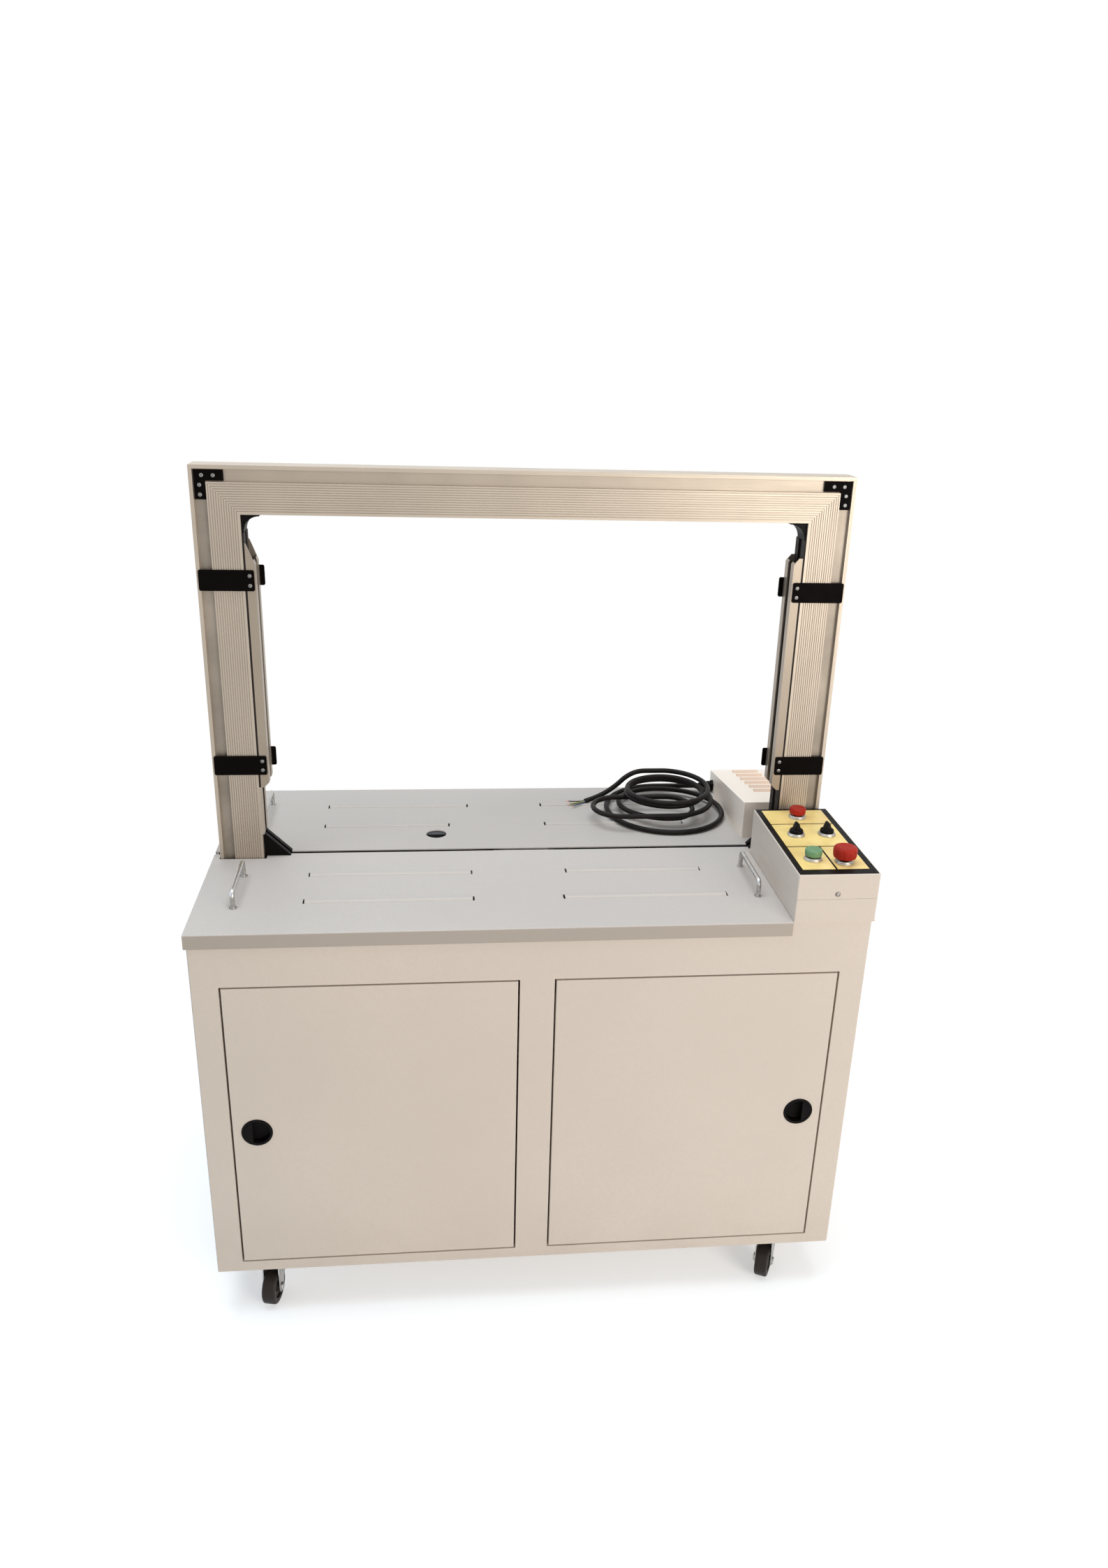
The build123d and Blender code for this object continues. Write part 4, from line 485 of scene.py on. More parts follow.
def cast(name, tone, roughness):
    """Sand-cast aluminium under grey paint: coarse skin, darker in its pits."""
    finish = Finish(name, Metallic=0.35)
    skin = finish.noise(160.0, 6.0)
    finish.base(finish.mixed(finish.spread(skin, 0.30, 0.70), scaled(tone, 0.80), scaled(tone, 1.10)))
    finish.rough(finish.spread(skin, 0.30, 0.70, roughness - 0.08, roughness + 0.12))
    finish.bump(skin, 0.0003, 0.5)
    return finish.material


# CAD nodes with a finish of their own in place of the one of their slot
OWN_FINISH = {"arch_top_beam": "beam_aluminium", "vent_cover": "vent_paint",
              "rear_table_plate": "rear_table_paint"}

finishes = {}


def make_finishes():
    """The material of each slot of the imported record, and of the pieces that have none."""
    scene = bpy.context.scene
    cabinet, arch = scene.strapper_cabinet, scene.strapper_arch
    control, caster, cord = scene.strapper_controls, scene.strapper_casters, scene.strapper_cord
    finishes.update({
        "cabinet_paint": paint("cream_powder_coat", cabinet.cream, cabinet.gloss, cabinet.peel, 0.16),
        # The table paint darkens its lip as painted shade
        "table_paint": paint("table_paint", cabinet.table, 0.40, cabinet.peel * 0.5, 0.0, 0.06, LIP_SHADE_TOP),
        # The rear table plate: a darker copy of the table paint, painted shade
        "rear_table_paint": paint("rear_table_paint", scaled(cabinet.table, REAR_TABLE_PAINTED_SHADE), 0.40,
                                  cabinet.peel * 0.5, 0.0, 0.06),
        # The vent cover: a lighter copy of the cream coat, painted light, with the painted warm shade on its hoods
        "vent_paint": paint("vent_powder_coat", scaled(cabinet.cream, VENT_PAINTED_LIGHT), cabinet.gloss,
                            cabinet.peel, 0.0, hoods=True),
        "support_paint": paint("grey_support_paint", cabinet.support, 0.45, cabinet.peel, 0.25),
        # The uprights' recess is darkened more than the beam's, as painted shade and soil
        "arch_aluminium": anodised("anodised_upright", arch.aluminium, arch.satin, UPRIGHT_LINES,
                                   "X", RIBS, RECESS, 1.1),
        "beam_aluminium": anodised("anodised_beam", arch.aluminium, arch.satin, BEAM_LINES,
                                   "Z", RIBS_UP, RECESS_UP, 0.35),
        "rail_aluminium": anodised("anodised_rail", arch.rail, arch.satin - 0.06, RAIL_LINES),
        "gate_plastic": gate_strip("gate_strip", (0.020, 0.015, 0.013), arch.aluminium, 0.60),
        "black_steel": moulded("black_steel_paint", control.black, 0.55, 300.0, 0.00008, specular=0.04),
        "black_plastic": moulded("black_plastic", control.black, 0.46, specular=0.09),
        "panel_yellow": moulded("yellow_film", control.yellow, 0.36, 700.0, 0.00002, 0.10, 0.35),
        "bezel_metal": plated("bezel_metal", (0.44, 0.42, 0.38), 0.42, 300.0),
        "red_plastic": moulded("red_plastic", control.red, 0.46, 500.0, 0.00002, 0.0, 0.10),
        "green_plastic": moulded("green_plastic", control.green, 0.38, 500.0, 0.00002, 0.05, 0.30),
        "handle_chrome": plated("handle_steel", (0.50, 0.490, 0.475), 0.26, 220.0),
        "zinc_steel": plated("zinc_plate", caster.zinc, 0.33, 260.0),
        "wheel_plastic": moulded("wheel_plastic", caster.wheel, 0.46, 260.0, 0.0001, specular=0.20),
        "roller_rubber": rubber("ground_rubber", (0.020, 0.020, 0.020), 0.70),
        "reel_plastic": moulded("reel_plastic", (0.060, 0.064, 0.072), 0.45),
        "motor_cast": cast("cast_housing", (0.170, 0.185, 0.200), 0.50),
        "cord_rubber": rubber("cord_sheath", cord.rubber, 0.48),
        "dull_steel": plated("dull_steel", scaled(caster.zinc, 0.55), 0.42, 900.0),
        "brown_core": moulded("brown_conductor", (0.060, 0.026, 0.014), 0.40),
        "blue_core": moulded("blue_conductor", (0.030, 0.060, 0.150), 0.40),
        "earth_core": moulded("earth_conductor", (0.300, 0.330, 0.060), 0.40),
        "copper": plated("stripped_copper", (0.560, 0.260, 0.140), 0.30, 900.0),
    })


def clean(bm):
    """Merge doubles, turn the faces outwards, and mark the edges that stay crisp."""
    bmesh.ops.remove_doubles(bm, verts=bm.verts, dist=1e-6)
    bmesh.ops.recalc_face_normals(bm, faces=bm.faces)
    for face in bm.faces:
        face.smooth = True
    for edge in bm.edges:
        edge.smooth = not (edge.is_manifold and edge.calc_face_angle() > SHARP_ANGLE)


def placed(name, data):
    """A new object in the scene, its origin at the world's."""
    made = bpy.data.objects.new(name, data)
    bpy.context.scene.collection.objects.link(made)
    return made


def piece(name, bm, finish, body, replaced=()):
    """A finished mesh as an object that rides on a body and stands for CAD nodes."""
    clean(bm)
    mesh = bpy.data.meshes.new(name)
    bm.to_mesh(mesh)
    bm.free()
    mesh.materials.append(finishes[finish])
    made = placed(name, mesh)
    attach(made, body)
    if replaced:
        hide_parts(*replaced)


def islands(node):
    """The box of each separate solid in a CAD node, as its low and high corner."""
    bm = bmesh.new()
    bm.from_mesh(frame["nodes"][node].data)
    bmesh.ops.remove_doubles(bm, verts=bm.verts, dist=1e-6)
    left = set(bm.verts)
    boxes = []
    while left:
        front = [left.pop()]
        group = list(front)
        while front:
            near = front.pop()
            for edge in near.link_edges:
                other = edge.other_vert(near)
                if other in left:
                    left.remove(other)
                    front.append(other)
                    group.append(other)
        low = Vector([min(v.co[i] for v in group) for i in range(3)])
        high = Vector([max(v.co[i] for v in group) for i in range(3)])
        boxes.append((low, high))
    bm.free()
    return sorted(boxes, key=lambda pair: [round(part, 4) for part in pair[0]])


def underside(low, high):
    """The middle of a box's lower face."""
    return Vector(((low.x + high.x) / 2, (low.y + high.y) / 2, low.z))


def aim(centre, axis):
    """The matrix that puts local Z on an axis through a point."""
    return Matrix.Translation(centre) @ Vector(axis).to_track_quat("Z", "Y").to_matrix().to_4x4()


def lathe(bm, outline, centre, axis, steps):
    """Spin an outline of (radius, height) points, in millimetres, round an axis."""
    place = aim(centre, axis)
    verts = [bm.verts.new(place @ Vector((radius * MM, 0, high * MM))) for radius, high in outline]
    edges = [bm.edges.new(pair) for pair in zip(verts, verts[1:])]
    bmesh.ops.spin(bm, geom=verts + edges, cent=centre, axis=axis, dvec=(0, 0, 0),
                   angle=math.tau, steps=steps, use_merge=True, use_normal_flip=False, use_duplicate=False)
    bmesh.ops.remove_doubles(bm, verts=bm.verts, dist=1e-6)


def extrude(bm, face, way):
    """Grow a face into a block along a vector, and give the corners that moved."""
    grown = bmesh.ops.extrude_face_region(bm, geom=[face])["geom"]
    moved = [item for item in grown if isinstance(item, bmesh.types.BMVert)]
    bmesh.ops.translate(bm, verts=moved, vec=way)
    return moved


def soften(bm, edges, by):
    """Round edges off by a distance in millimetres."""
    bmesh.ops.bevel(bm, geom=edges, offset=by * MM, segments=2, profile=0.5, affect="EDGES", material=-1)


def plate(bm, outline, place, thickness, round_by=0.0):
    """A flat outline of (x, y) points, in millimetres, put in place and given a thickness."""
    verts = [bm.verts.new(place @ Vector((x * MM, y * MM, 0))) for x, y in outline]
    moved = extrude(bm, bm.faces.new(verts), place.to_3x3() @ Vector((0, 0, thickness * MM)))
    if round_by:
        rim = {edge for vert in verts + moved for edge in vert.link_edges}
        soften(bm, list(rim), round_by)


def screw(bm, centre, axis, radius, height):
    """A button-head screw with a hexagon socket."""
    place = aim(centre, axis)
    base = bmesh.ops.create_circle(bm, cap_ends=True, segments=12, radius=radius, matrix=place)["verts"]
    face = base[0].link_faces[0]
    for reach, rise in SCREW_RINGS:
        face = bmesh.ops.extrude_discrete_faces(bm, faces=[face])["faces"][0]
        for i, loop in enumerate(face.loops):
            corner = place.inverted() @ loop.vert.co
            angle = math.atan2(corner.y, corner.x)
            wide = radius * reach
            if reach == SOCKET and i % 2:
                wide *= math.cos(math.pi / 6)
            loop.vert.co = place @ Vector((wide * math.cos(angle), wide * math.sin(angle), height * rise))
    bmesh.ops.remove_doubles(bm, verts=bm.verts, dist=1e-7)


def seen_rays(tree):
    """1 for what the camera, gloss and clear pieces see, 0 for plain light."""
    path = tree.nodes.new("ShaderNodeLightPath")
    seen = path.outputs["Is Camera Ray"]
    for kind in ("Is Transmission Ray", "Is Glossy Ray"):
        either = tree.nodes.new("ShaderNodeMath")
        either.operation = "MAXIMUM"
        tree.links.new(seen, either.inputs[0])
        tree.links.new(path.outputs[kind], either.inputs[1])
        seen = either.outputs["Value"]
    return seen


class STRAPPER_OT_stage(bpy.types.Operator):
    """Floor, lamps, background and the camera at the photograph's viewing angle"""

    bl_idname = "strapper.stage"
    bl_label = "Stage"

    def execute(self, context):
        look = context.scene.strapper_stage
        context.scene.view_settings.view_transform = "Standard"
        self.camera(context)
        self.background(context, look)
        self.floor(look)
        for name, place, size, tone in LAMPS:
            self.lamp(f"{name}_lamp", place, size, getattr(look, name), tone)
        return {"FINISHED"}

    def camera(self, context):
        """Camera at the photographer's place, turned to the same view."""
        yaw, pitch, roll = CAMERA_YAW, CAMERA_PITCH, CAMERA_ROLL
        ahead = Vector((math.sin(yaw) * math.cos(pitch), math.cos(yaw) * math.cos(pitch), math.sin(pitch)))
        level = Vector((math.cos(yaw), -math.sin(yaw), 0))
        rise = level.cross(ahead)
        right = level * math.cos(roll) + rise * math.sin(roll)
        up = rise * math.cos(roll) - level * math.sin(roll)
        lens = bpy.data.cameras.new("photo_camera")
        lens.lens = CAMERA_LENS
        lens.shift_x, lens.shift_y = CAMERA_SHIFT
        lens.clip_start = 0.05
        camera = placed("photo_camera", lens)
        turn = Matrix((right, up, -ahead)).transposed().to_4x4()
        camera.matrix_world = Matrix.Translation(CAMERA_PLACE) @ turn
        context.scene.camera = camera

    def background(self, context, look):
        """White for what the camera and gloss see, a plain level for the light."""
        world = bpy.data.worlds.new("studio")
        world.use_nodes = True
        tree = world.node_tree
        tree.nodes.clear()
        seen = seen_rays(tree)
        level = tree.nodes.new("ShaderNodeMapRange")
        tree.links.new(seen, level.inputs["Value"])
        level.inputs["To Min"].default_value = look.ambient
        light = tree.nodes.new("ShaderNodeBackground")
        tint = tree.nodes.new("ShaderNodeMix")
        tint.data_type = "RGBA"
        tint.inputs[6].default_value = (*look.tint, 1)
        tint.inputs[7].default_value = (1, 1, 1, 1)
        tree.links.new(seen, tint.inputs[0])
        tree.links.new(tint.outputs[2], light.inputs["Color"])
        tree.links.new(level.outputs["Result"], light.inputs["Strength"])
        out = tree.nodes.new("ShaderNodeOutputWorld")
        tree.links.new(light.outputs["Background"], out.inputs["Surface"])
        context.scene.world = world

    def floor(self, look):
        """A wide floor: white to the camera far away, with the machine's soft shadow near it."""
        bm = bmesh.new()
        bmesh.ops.create_grid(bm, x_segments=2, y_segments=2, size=FLOOR_HALF)
        mesh = bpy.data.meshes.new("floor")
        bm.to_mesh(mesh)
        bm.free()
        floor = placed("floor", mesh)
        finish = Finish("floor_white")
        tree = finish.tree
        tree.nodes.remove(finish.shader)
        plain = finish.add("ShaderNodeBsdfDiffuse", Color=(*look.floor, 1)).outputs[0]
        glow = finish.add("ShaderNodeEmission", Strength=FLOOR_GLOW).outputs[0]
        white = finish.add("ShaderNodeEmission").outputs[0]
        lit = tree.nodes.new("ShaderNodeAddShader")
        tree.links.new(plain, lit.inputs[0])
        tree.links.new(glow, lit.inputs[1])
        reach = finish.add("ShaderNodeVectorMath", Vector=finish.place)
        reach.operation = "LENGTH"
        far = finish.spread(reach.outputs["Value"], FADE_START, FADE_END)
        shown = finish.blended(seen_rays(tree), plain, finish.blended(far, lit.outputs[0], white))
        tree.links.new(shown, tree.nodes["Material Output"].inputs["Surface"])
        mesh.materials.append(finish.material)

    def lamp(self, name, place, size, power, tone):
        """A soft square lamp aimed at the middle of the machine."""
        light = bpy.data.lights.new(name, "AREA")
        light.size = size
        light.energy = power
        light.color = tone
        placed(name, light).matrix_world = aim(place, Vector(place) - LAMP_AIM)


def tube(name, points, radius, finish, body):
    """A curve of one open spline through its control points, as thick as a cord."""
    curve = bpy.data.curves.new(name, "CURVE")
    curve.dimensions = "3D"
    curve.bevel_depth = radius
    curve.bevel_resolution = 5
    curve.resolution_u = 10
    curve.use_fill_caps = True
    spline = curve.splines.new("NURBS")
    spline.points.add(len(points) - 1)
    for knot, point in zip(spline.points, points):
        knot.co = (*(part * MM for part in point), 1.0)
    spline.order_u = 3
    spline.use_endpoint_u = True
    curve.materials.append(finishes[finish])
    made = placed(name, curve)
    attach(made, body)
    return made


def half_turn(back, front, shift, side):
    """Control points of half a turn between a back and a front station, to the left or the right."""
    middle = (back + front) / 2
    arm = (back - front) / 2
    reach = arm.length * ARC_REACH
    points = []
    for k in range(6):
        turn = ARC_STEP * (k + 0.5)
        points.append(middle + arm * ARC_REACH * math.cos(turn)
                      + Vector((shift + side * reach * math.sin(turn), 0, 0)))
    return points


def coil_points():
    """Control points of the lead and the loose coil: twelve for each turn, and pairs on the straight runs."""
    backs = [Vector((COIL_X, y, TABLE_Z + h)) for y, h in zip(COIL_BACK_Y, COIL_BACK_H)]
    fronts = [Vector((COIL_X, y, TABLE_Z + h)) for y, h in zip(COIL_FRONT_Y, COIL_FRONT_H)]
    start = Vector((GLAND_WALL_X - GLAND_L, backs[0].y, backs[0].z))
    inner = half_turn(backs[0], fronts[0], 0, -1)
    points = [start, backs[0] + (backs[0] - inner[0]).dot(RIGHT) * RIGHT]
    for i, front in enumerate(fronts):
        if i == BIGHT_TURN:
            near = (backs[i] - front).length / 2 * ARC_REACH * math.sin(ARC_STEP / 2)
            points.append(backs[i] - near * RIGHT)
            points.append(backs[i] - (BIGHT_L - near) * RIGHT)
            points += half_turn(backs[i], front, -BIGHT_L, -1)
            points.append(front - (BIGHT_L - near) * RIGHT)
            points.append(front - near * RIGHT)
        else:
            points += half_turn(backs[i], front, 0, -1)
        points += half_turn(backs[i + 1], front, 0, 1)[::-1]
    points.append(backs[-1] - COIL_END_L * RIGHT)
    return points


class STRAPPER_OT_power_cord(bpy.types.Operator):
    """Power cord coiled on the table, with its gland and its three bare conductors"""

    bl_idname = "strapper.power_cord"
    bl_label = "Power cord"

    def execute(self, context):
        sizes = context.scene.strapper_cord
        points = coil_points() + [Vector(point) for point in TAIL_POINTS]
        cord = tube("power_cord", points, sizes.diameter / 2, "cord_rubber", "cabinet")
        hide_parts("power_cord_coil", "power_cord_tail")
        wires = self.conductors(sizes)
        self.gland()
        return {"FINISHED"}

    def conductors(self, sizes):
        """Three insulated conductors splayed from the cord's end, each stripped at its tip."""
        end = Vector(TAIL_POINTS[-1])
        way = (end - Vector(TAIL_POINTS[-2])).normalized()
        side = Vector((-way.y, way.x, 0)).normalized()
        pieces = []
        for splay, core in zip(WIRE_SPLAY, ("brown_core", "earth_core", "blue_core")):
            turn = math.atan2(way.y, way.x) + math.radians(splay)
            start = end + side * (WIRE_SPREAD * splay / max(WIRE_SPLAY))
            along = Vector((math.cos(turn), math.sin(turn), 0))
            knee = start + way * WIRE_L * KNEE_SHARE
            tip = knee + along * WIRE_L * TIP_SHARE
            tip.z = TABLE_Z + WIRE_H
            bare = tip + along * WIRE_L * BARE_SHARE
            pieces.append(tube(f"{core}_wire", [start - way * 2, knee, tip], sizes.wire / 2, core,
                               "cabinet"))
            pieces.append(tube(f"{core}_tip", [tip - way, (tip + bare) / 2, bare], sizes.wire * BARE_THICK,
                               "copper", "cabinet"))
        return pieces

    def gland(self):
        """Hexagon nut, collar and a ribbed tapered sleeve round the cord."""
        place = Vector((GLAND_WALL_X, COIL_BACK_Y[0], TABLE_Z + COIL_BACK_H[0])) * MM
        out = -RIGHT
        bm = bmesh.new()
        made = bmesh.ops.create_circle(bm, cap_ends=True, segments=6, radius=NUT_RADIUS * MM,
                                       matrix=aim(place, out))
        moved = extrude(bm, made["verts"][0].link_faces[0], out * NUT_L * MM)
        soften(bm, [edge for edge in bm.edges if all(v in moved for v in edge.verts)], NUT_ROUND)
        outline = [(0, 4.5), (9.5, 4.5), (9.5, 11.2), (9.1, 12.6), (8.2, 13.2)]
        for i in range(SLEEVE_RIBS):
            low = 13.6 + i * RIB_STEP
            radius = 8.0 - i * RIB_TAPER
            outline += [(radius, low), (radius, low + 1.5),
                        (radius - 0.9, low + 1.8), (radius - 0.9, low + 2.5)]
        outline += [(6.5, GLAND_L - 0.5), (6.1, GLAND_L), (5.05, GLAND_L),
                    (5.05, GLAND_L - 4), (0, GLAND_L - 4)]
        lathe(bm, outline, place, out, 32)
        piece("gland", bm, "black_plastic", "cabinet", ["cord_gland"])


class STRAPPER_OT_finishes(bpy.types.Operator):
    """Gives every CAD piece the procedural finish of its slot"""

    bl_idname = "strapper.finishes"
    bl_label = "Finishes"

    def execute(self, context):
        make_finishes()
        for part in frame["record"]["subparts"]:
            node = frame["nodes"][part["node"]]
            chosen = finishes[OWN_FINISH.get(part["node"], part["material_slot"])]
            if not node.material_slots:
                node.data.materials.append(chosen)
            for slot in node.material_slots:
                slot.material = chosen
        return {"FINISHED"}


class STRAPPER_OT_screws(bpy.types.Operator):
    """Button-head screws of the arch, the control box and the rear cover"""

    bl_idname = "strapper.screws"
    bl_label = "Screws"

    def execute(self, context):
        radius = context.scene.strapper_arch.screw_radius
        bm = bmesh.new()
        for low, high in islands("arch_screws"):
            middle = (low + high) / 2
            face = -1 if middle.y < 0 else 1
            foot = Vector((middle.x, low.y if face > 0 else high.y, middle.z))
            screw(bm, foot, (0, face, 0), radius, high.y - low.y)
        piece("arch_screw_heads", bm, "dull_steel", "cabinet", ["arch_screws"])
        bm = bmesh.new()
        screw(bm, Vector(COVER_SCREW), FRONT, COVER_SCREW_RADIUS, COVER_SCREW_H)
        piece("cover_screw", bm, "dull_steel", "cabinet", ())
        bm = bmesh.new()
        for low, high in islands("rear_panel"):
            if (high - low).length < REAR_SCREW_MAX:
                middle = (low + high) / 2
                foot = Vector((middle.x, low.y, middle.z))
                screw(bm, foot, (0, 1, 0), radius + REAR_SCREW_PROUD, REAR_SCREW_H)
        piece("rear_cover_screws", bm, "dull_steel", "cabinet", ())
        return {"FINISHED"}


class STRAPPER_OT_pulls(bpy.types.Operator):
    """Round recessed finger pulls of the two doors"""

    bl_idname = "strapper.pulls"
    bl_label = "Door pulls"

    def execute(self, context):
        for side, hand in ((-1, "left"), (1, "right")):
            low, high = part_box(f"{hand}_door_pull")
            centre = Vector(((low.x + high.x) / 2, low.y + PULL_PROUD * MM, (low.z + high.z) / 2))
            bm = bmesh.new()
            outline = [(0, -12.4), (18.5, -12.4), (20.2, -11.6), (PULL_WELL, -9.8), (PULL_WELL, 0.6),
                       (21.3, 1.4), (22.0, 1.9), (24.2, 2.0), (25.2, 1.7), (25.8, 1.0), (26.0, 0.1),
                       (26.0, 0), (22.5, 0), (22.5, -14), (0, -14)]
            lathe(bm, outline, centre, FRONT, 64)
            lip = [(PULL_LIP_X, -PULL_LIP_Y), (PULL_LIP_X, PULL_LIP_Y)]
            start = math.acos(PULL_LIP_X / PULL_WELL)
            for k in range(1, PULL_LIP_FACETS):
                turn = start * (1 - 2 * k / PULL_LIP_FACETS)
                lip.append((PULL_WELL * math.cos(turn), PULL_WELL * math.sin(turn)))
            turned = Matrix((RIGHT * side, UP, FRONT)).transposed().to_4x4()
            place = Matrix.Translation(centre - FRONT * PULL_LIP_SUNK * MM) @ turned
            plate(bm, lip, place, PULL_LIP_T)
            piece(f"{hand}_pull", bm, "black_plastic", f"{hand}_door", [f"{hand}_door_pull"])
        return {"FINISHED"}


class STRAPPER_OT_controls(bpy.types.Operator):
    """Push buttons, selectors, stop mushroom and their metal collars"""

    bl_idname = "strapper.controls"
    bl_label = "Controls"

    def execute(self, context):
        steps = context.scene.strapper_controls.cap_segments
        self.collars(steps)
        for node, finish in (("red_button", "red_plastic"), ("green_button", "green_plastic")):
            low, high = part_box(node)
            rise = (high.z - low.z) / MM
            wide = (high.x - low.x) / 2 / MM
            bm = bmesh.new()
            lathe(bm, [(0, 0), (7, 0), (7, rise - 11), (wide - 0.6, rise - 11), (wide - 0.1, rise - 10.4),
                       (wide, rise - 3.6), (wide - 0.4, rise - 1.8), (wide - 1.5, rise - 0.5),
                       (wide - 2.9, rise), (wide - 3.9, rise - 0.1), (5.0, rise - 0.55),
                       (0, rise - 0.7)], underside(low, high), UP, steps)
            piece(f"{finish.split('_')[0]}_cap", bm, finish, node, [node])
        for hand in ("left", "right"):
            self.selector(f"{hand}_selector", f"{hand}_knob", steps)
        self.mushroom(steps)
        return {"FINISHED"}

    def collars(self, steps):
        """Threaded barrels with a stepped, rounded collar on the panel and a nut below."""
        bm = bmesh.new()
        for low, high in islands("button_bezels"):
            top = (high.z - low.z) / MM
            wide = (high.x - low.x) / 2 / MM
            lathe(bm, [(0, 0), (11, 0), (11, 24.6), (wide, 24.6), (wide, 29.6), (11, 29.6), (11, top - 5),
                       (wide - 0.3, top - 5), (wide, top - 4.6), (wide, top - 3.2), (wide - 0.4, top - 2.4),
                       (wide - 1.3, top - 2.0), (wide - 1.5, top - 0.7), (wide - 2.1, top), (10.6, top),
                       (10.2, top - 1.2), (7.06, top - 1.2), (7.06, 3), (0, 3)],
                  underside(low, high), UP, steps)
        piece("control_collars", bm, "bezel_metal", "cabinet", ["button_bezels"])

    def selector(self, node, name, steps):
        """A round skirt and a grip that narrows to its top, pointed at the back."""
        low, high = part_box(node)
        centre = Vector(((low.x + high.x) / 2, 0, low.z))
        joint = next(j for j in frame["joints"] if j["child"] == node)
        centre.y = joint["pos_m"][1]
        skirt = (high.z - low.z) / MM - SELECTOR_TOP
        bm = bmesh.new()
        outline = [(-GRIP_HALF, -9.5), (GRIP_HALF, -9.5), (GRIP_HALF, 7.5), (0, 12.5), (-GRIP_HALF, 7.5)]
        plate(bm, outline, Matrix.Translation(centre + UP * (skirt + GRIP_FOOT) * MM), GRIP_H)
        for vert in bm.verts:
            rise = (vert.co.z - centre.z) / MM - skirt - GRIP_FOOT
            wide = GRIP_WIDE - GRIP_TAPER * rise / GRIP_H
            vert.co.x = centre.x + (vert.co.x - centre.x) * wide
            if rise > GRIP_LEAN_FROM:
                vert.co.y += (centre.y - vert.co.y) * GRIP_LEAN
        soften(bm, bm.edges[:], GRIP_ROUND)
        lathe(bm, [(0, 0), (7, 0), (7, skirt), (11.6, skirt), (12, skirt + 0.6), (12, skirt + 3.4),
                   (11.2, skirt + 5.0), (9.4, skirt + 6.2), (0, skirt + 6.8)], centre, UP, steps)
        piece(name, bm, "black_plastic", node, [node])

    def mushroom(self, steps):
        """Stop button: a fluted mushroom head with a dished top, on its stem."""
        low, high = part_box("estop_head")
        foot = underside(low, high)
        rise = (high.z - low.z) / MM
        bm = bmesh.new()
        lathe(bm, [(5.1, 1.5), (5.1, 0.4), (6.4, 0), (17.0, 0), (18.4, 0.5), (19.2, 2.0), (19.7, 6.0),
                   (20.0, rise - 6.5), (19.6, rise - 3.8), (18.2, rise - 1.6), (16.0, rise - 0.4),
                   (13.6, rise), (11.0, rise - 0.15), (6.0, rise - 0.7), (0, rise - 0.9)],
              foot, UP, steps * 2)
        for vert in bm.verts:
            arm = vert.co - foot
            if math.hypot(arm.x, arm.y) / MM > FLUTE_FROM and arm.z / MM < rise - FLUTE_TOP:
                wave = max(0.0, math.cos(FLUTES * math.atan2(arm.y, arm.x)) - FLUTE_FLAT)
                vert.co.x -= arm.x * FLUTE_DEPTH * wave
                vert.co.y -= arm.y * FLUTE_DEPTH * wave
        bmesh.ops.holes_fill(bm, edges=[edge for edge in bm.edges if edge.is_boundary])
        piece("stop_mushroom", bm, "red_plastic", "estop_head", ["estop_head"])


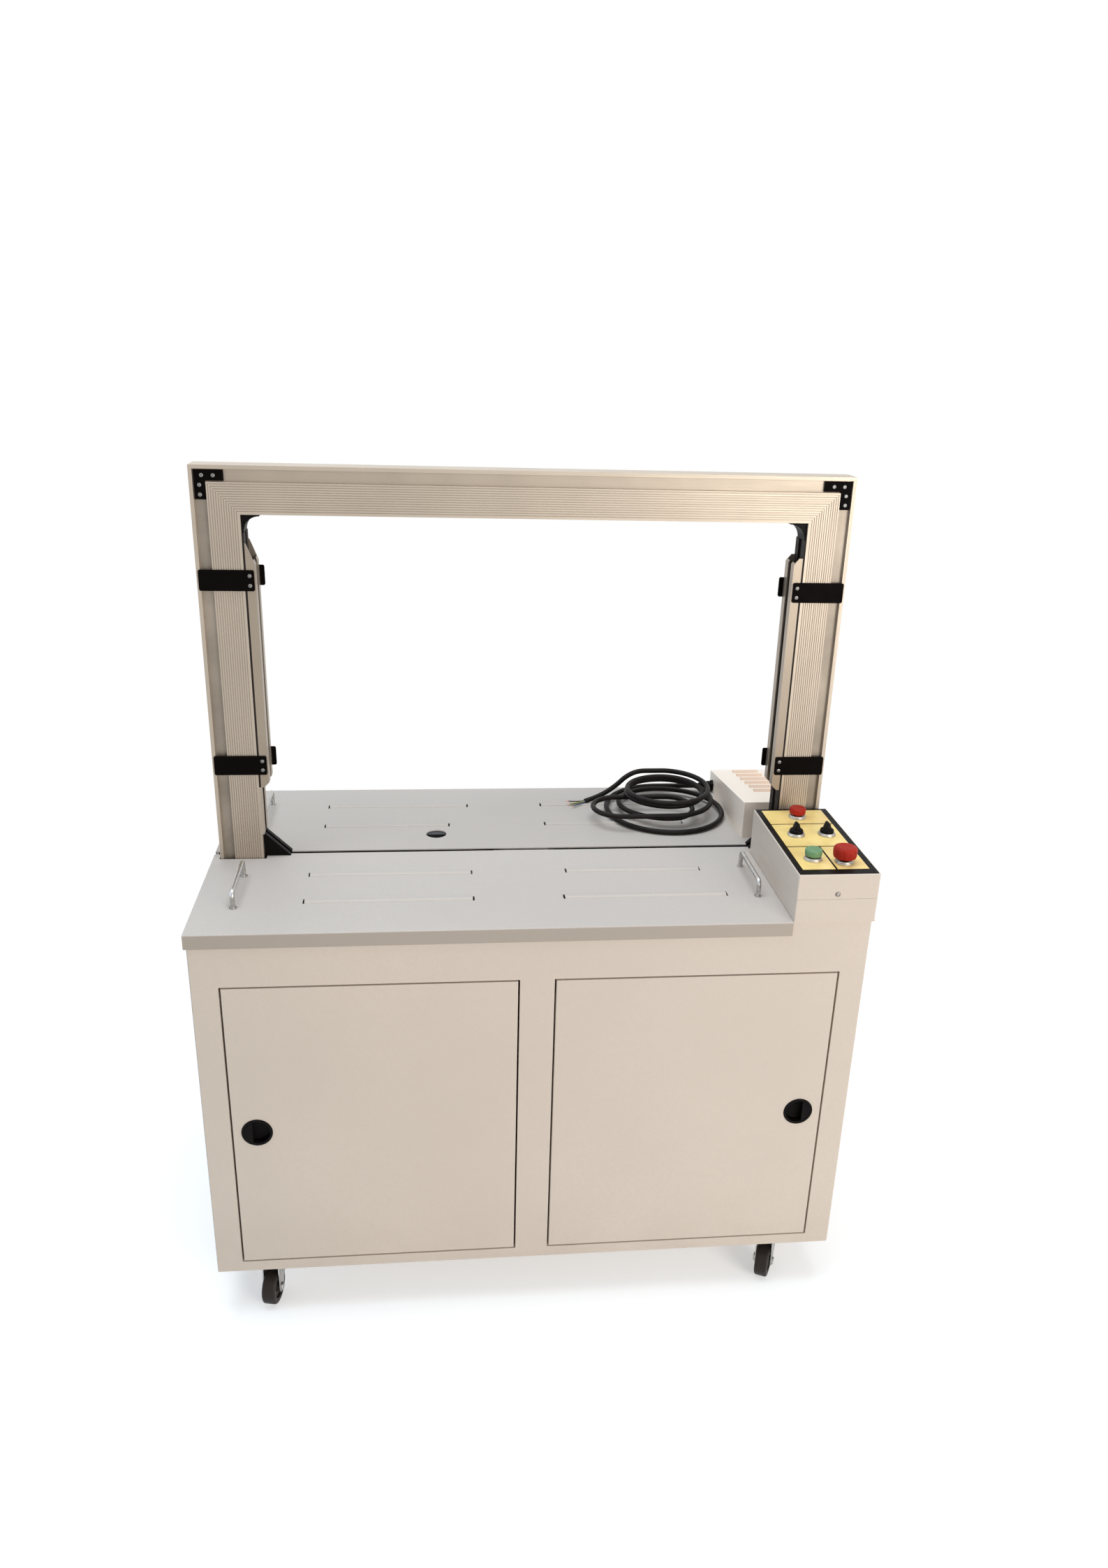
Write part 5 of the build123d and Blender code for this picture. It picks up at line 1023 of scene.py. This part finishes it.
class STRAPPER_OT_casters(bpy.types.Operator):
    """Swivel casters: pressed forks with axle nuts, and wheels with a rounded tread"""

    bl_idname = "strapper.casters"
    bl_label = "Casters"

    def execute(self, context):
        joints = {joint["name"]: joint for joint in frame["joints"]}
        tread = context.scene.strapper_casters.tread_round / MM
        for corner in ("front_left", "front_right", "rear_left", "rear_right"):
            roll = joints[f"{corner}_roll"]
            pivot = Vector(joints[f"{corner}_swivel"]["pos_m"])
            hub = Vector(roll["pos_m"])
            axle = Vector(roll["axis"]).normalized()
            self.wheel(corner, hub, axle, tread)
            self.fork(corner, pivot, hub, axle)
        return {"FINISHED"}

    def wheel(self, corner, hub, axle, tread):
        """Solid wheel with a crowned tread, dished sides and a raised hub."""
        radius = hub.z / MM
        half = WHEEL_HALF
        bm = bmesh.new()
        rim = [(radius - 10.5, half - 0.6), (radius - 9.5, half), (radius - tread, half)]
        for k in range(1, 5):
            turn = math.radians(90 - k * 21)
            rim.append((radius - tread + tread * math.cos(turn), half - tread + tread * math.sin(turn)))
        outline = [(5.05, -half - 0.6), (9.4, -half - 0.6), (10.0, -half), (10.4, -half + 3.6),
                   (radius - 11, -half + 3.9)]
        outline += [(r, -h) for r, h in rim]
        outline += [(radius, -half + tread + 1.5), (radius, half - tread - 1.5)]
        outline += [(r, h) for r, h in reversed(rim)]
        outline += [(radius - 11, half - 3.9), (10.4, half - 3.6), (10.0, half), (9.4, half + 0.6),
                    (5.05, half + 0.6), (5.05, -half - 0.6)]
        lathe(bm, outline, hub, axle, 56)
        piece(f"{corner}_tyre", bm, "wheel_plastic", f"{corner}_wheel", [f"{corner}_caster_wheel"])

    def fork(self, corner, pivot, hub, axle):
        """Race ring, crown plate, two cheeks that narrow to the axle, and the axle bolt with its nut."""
        ahead = Vector((hub.x - pivot.x, hub.y - pivot.y, 0))
        trail = ahead.length / MM
        ahead.normalize()
        side = UP.cross(ahead)
        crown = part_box(f"{corner}_caster_fork")[1].z / MM - CROWN_DROP
        axle_z = hub.z / MM
        bm = bmesh.new()
        foot = Vector((pivot.x, pivot.y, crown * MM))
        lathe(bm, [(5.1, -2.5), (19.2, -2.5), (21.0, -1.0), (21.0, 2.4), (19.6, 3.4), (19.2, 4.2),
                   (20.4, 5.2), (20.6, 7.6), (19.0, 9), (5.1, 9), (5.1, -2.5)], foot, UP, 48)
        for hand in (-1, 1):
            outline = [(-18, crown), (trail + 8, crown), (trail + 9.5, axle_z + 2), (trail + 7, axle_z - 7),
                       (trail + 2, axle_z - 9.5), (trail - 4, axle_z - 9.3), (trail - 10, axle_z - 4),
                       (trail - 15, axle_z + 12), (-10, crown - 16), (-18, crown - 7)]
            turned = Matrix((ahead, UP, side * hand)).transposed().to_4x4()
            start = Vector((pivot.x, pivot.y, 0)) + side * hand * CHEEK_IN * MM
            plate(bm, outline, Matrix.Translation(start) @ turned, CHEEK_T, 0.5)
        outline = [(-18, -16), (trail + 8, -16), (trail + 8, 16), (-18, 16)]
        turned = Matrix((ahead, side, UP)).transposed().to_4x4()
        place = Matrix.Translation(Vector((pivot.x, pivot.y, (crown - CHEEK_T) * MM))) @ turned
        plate(bm, outline, place, CHEEK_T, 0.6)
        for hand in (-1, 1):
            lathe(bm, [(0, 10), (5, 10), (5, 16), (7.4, 16), (7.4, 18.2), (6.6, 19), (0, 19)],
                  hub, axle * hand, 6 if hand > 0 else 24)
        piece(f"{corner}_fork", bm, "zinc_steel", f"{corner}_caster", [f"{corner}_caster_fork"])


class STRAPPER_PT_panel(bpy.types.Panel):
    """Lists the pieces of the machine and their settings"""

    bl_label = "Strapping machine"
    bl_idname = "STRAPPER_PT_panel"
    bl_space_type = "VIEW_3D"
    bl_region_type = "UI"
    bl_category = "Strapper"

    def draw(self, context):
        for step in STEPS:
            self.layout.operator(step)
        for group in SETTINGS:
            settings = getattr(context.scene, group)
            part = self.layout.box()
            for name in settings.bl_rna.properties.keys():
                if name not in ("rna_type", "name"):
                    part.prop(settings, name)


SETTINGS = {
    "strapper_cabinet": CabinetSettings,
    "strapper_arch": ArchSettings,
    "strapper_controls": ControlSettings,
    "strapper_casters": CasterSettings,
    "strapper_cord": CordSettings,
    "strapper_stage": StageSettings,
}
OPERATORS = (STRAPPER_OT_stage, STRAPPER_OT_finishes, STRAPPER_OT_power_cord, STRAPPER_OT_screws,
             STRAPPER_OT_pulls, STRAPPER_OT_controls, STRAPPER_OT_casters)
STEPS = [operator.bl_idname for operator in OPERATORS]


def register():
    """Adds the settings, the operators and the panel."""
    for name, group in SETTINGS.items():
        bpy.utils.register_class(group)
        setattr(bpy.types.Scene, name, PointerProperty(type=group))
    for operator in OPERATORS:
        bpy.utils.register_class(operator)
    bpy.utils.register_class(STRAPPER_PT_panel)


def unregister():
    """Takes them away again."""
    bpy.utils.unregister_class(STRAPPER_PT_panel)
    for operator in reversed(OPERATORS):
        bpy.utils.unregister_class(operator)
    for name, group in SETTINGS.items():
        delattr(bpy.types.Scene, name)
        bpy.utils.unregister_class(group)


def main():
    """Runs every operator."""
    register()
    for operator in OPERATORS:
        space, name = operator.bl_idname.split(".")
        getattr(getattr(bpy.ops, space), name)()


if __name__ == "__main__":
    main()
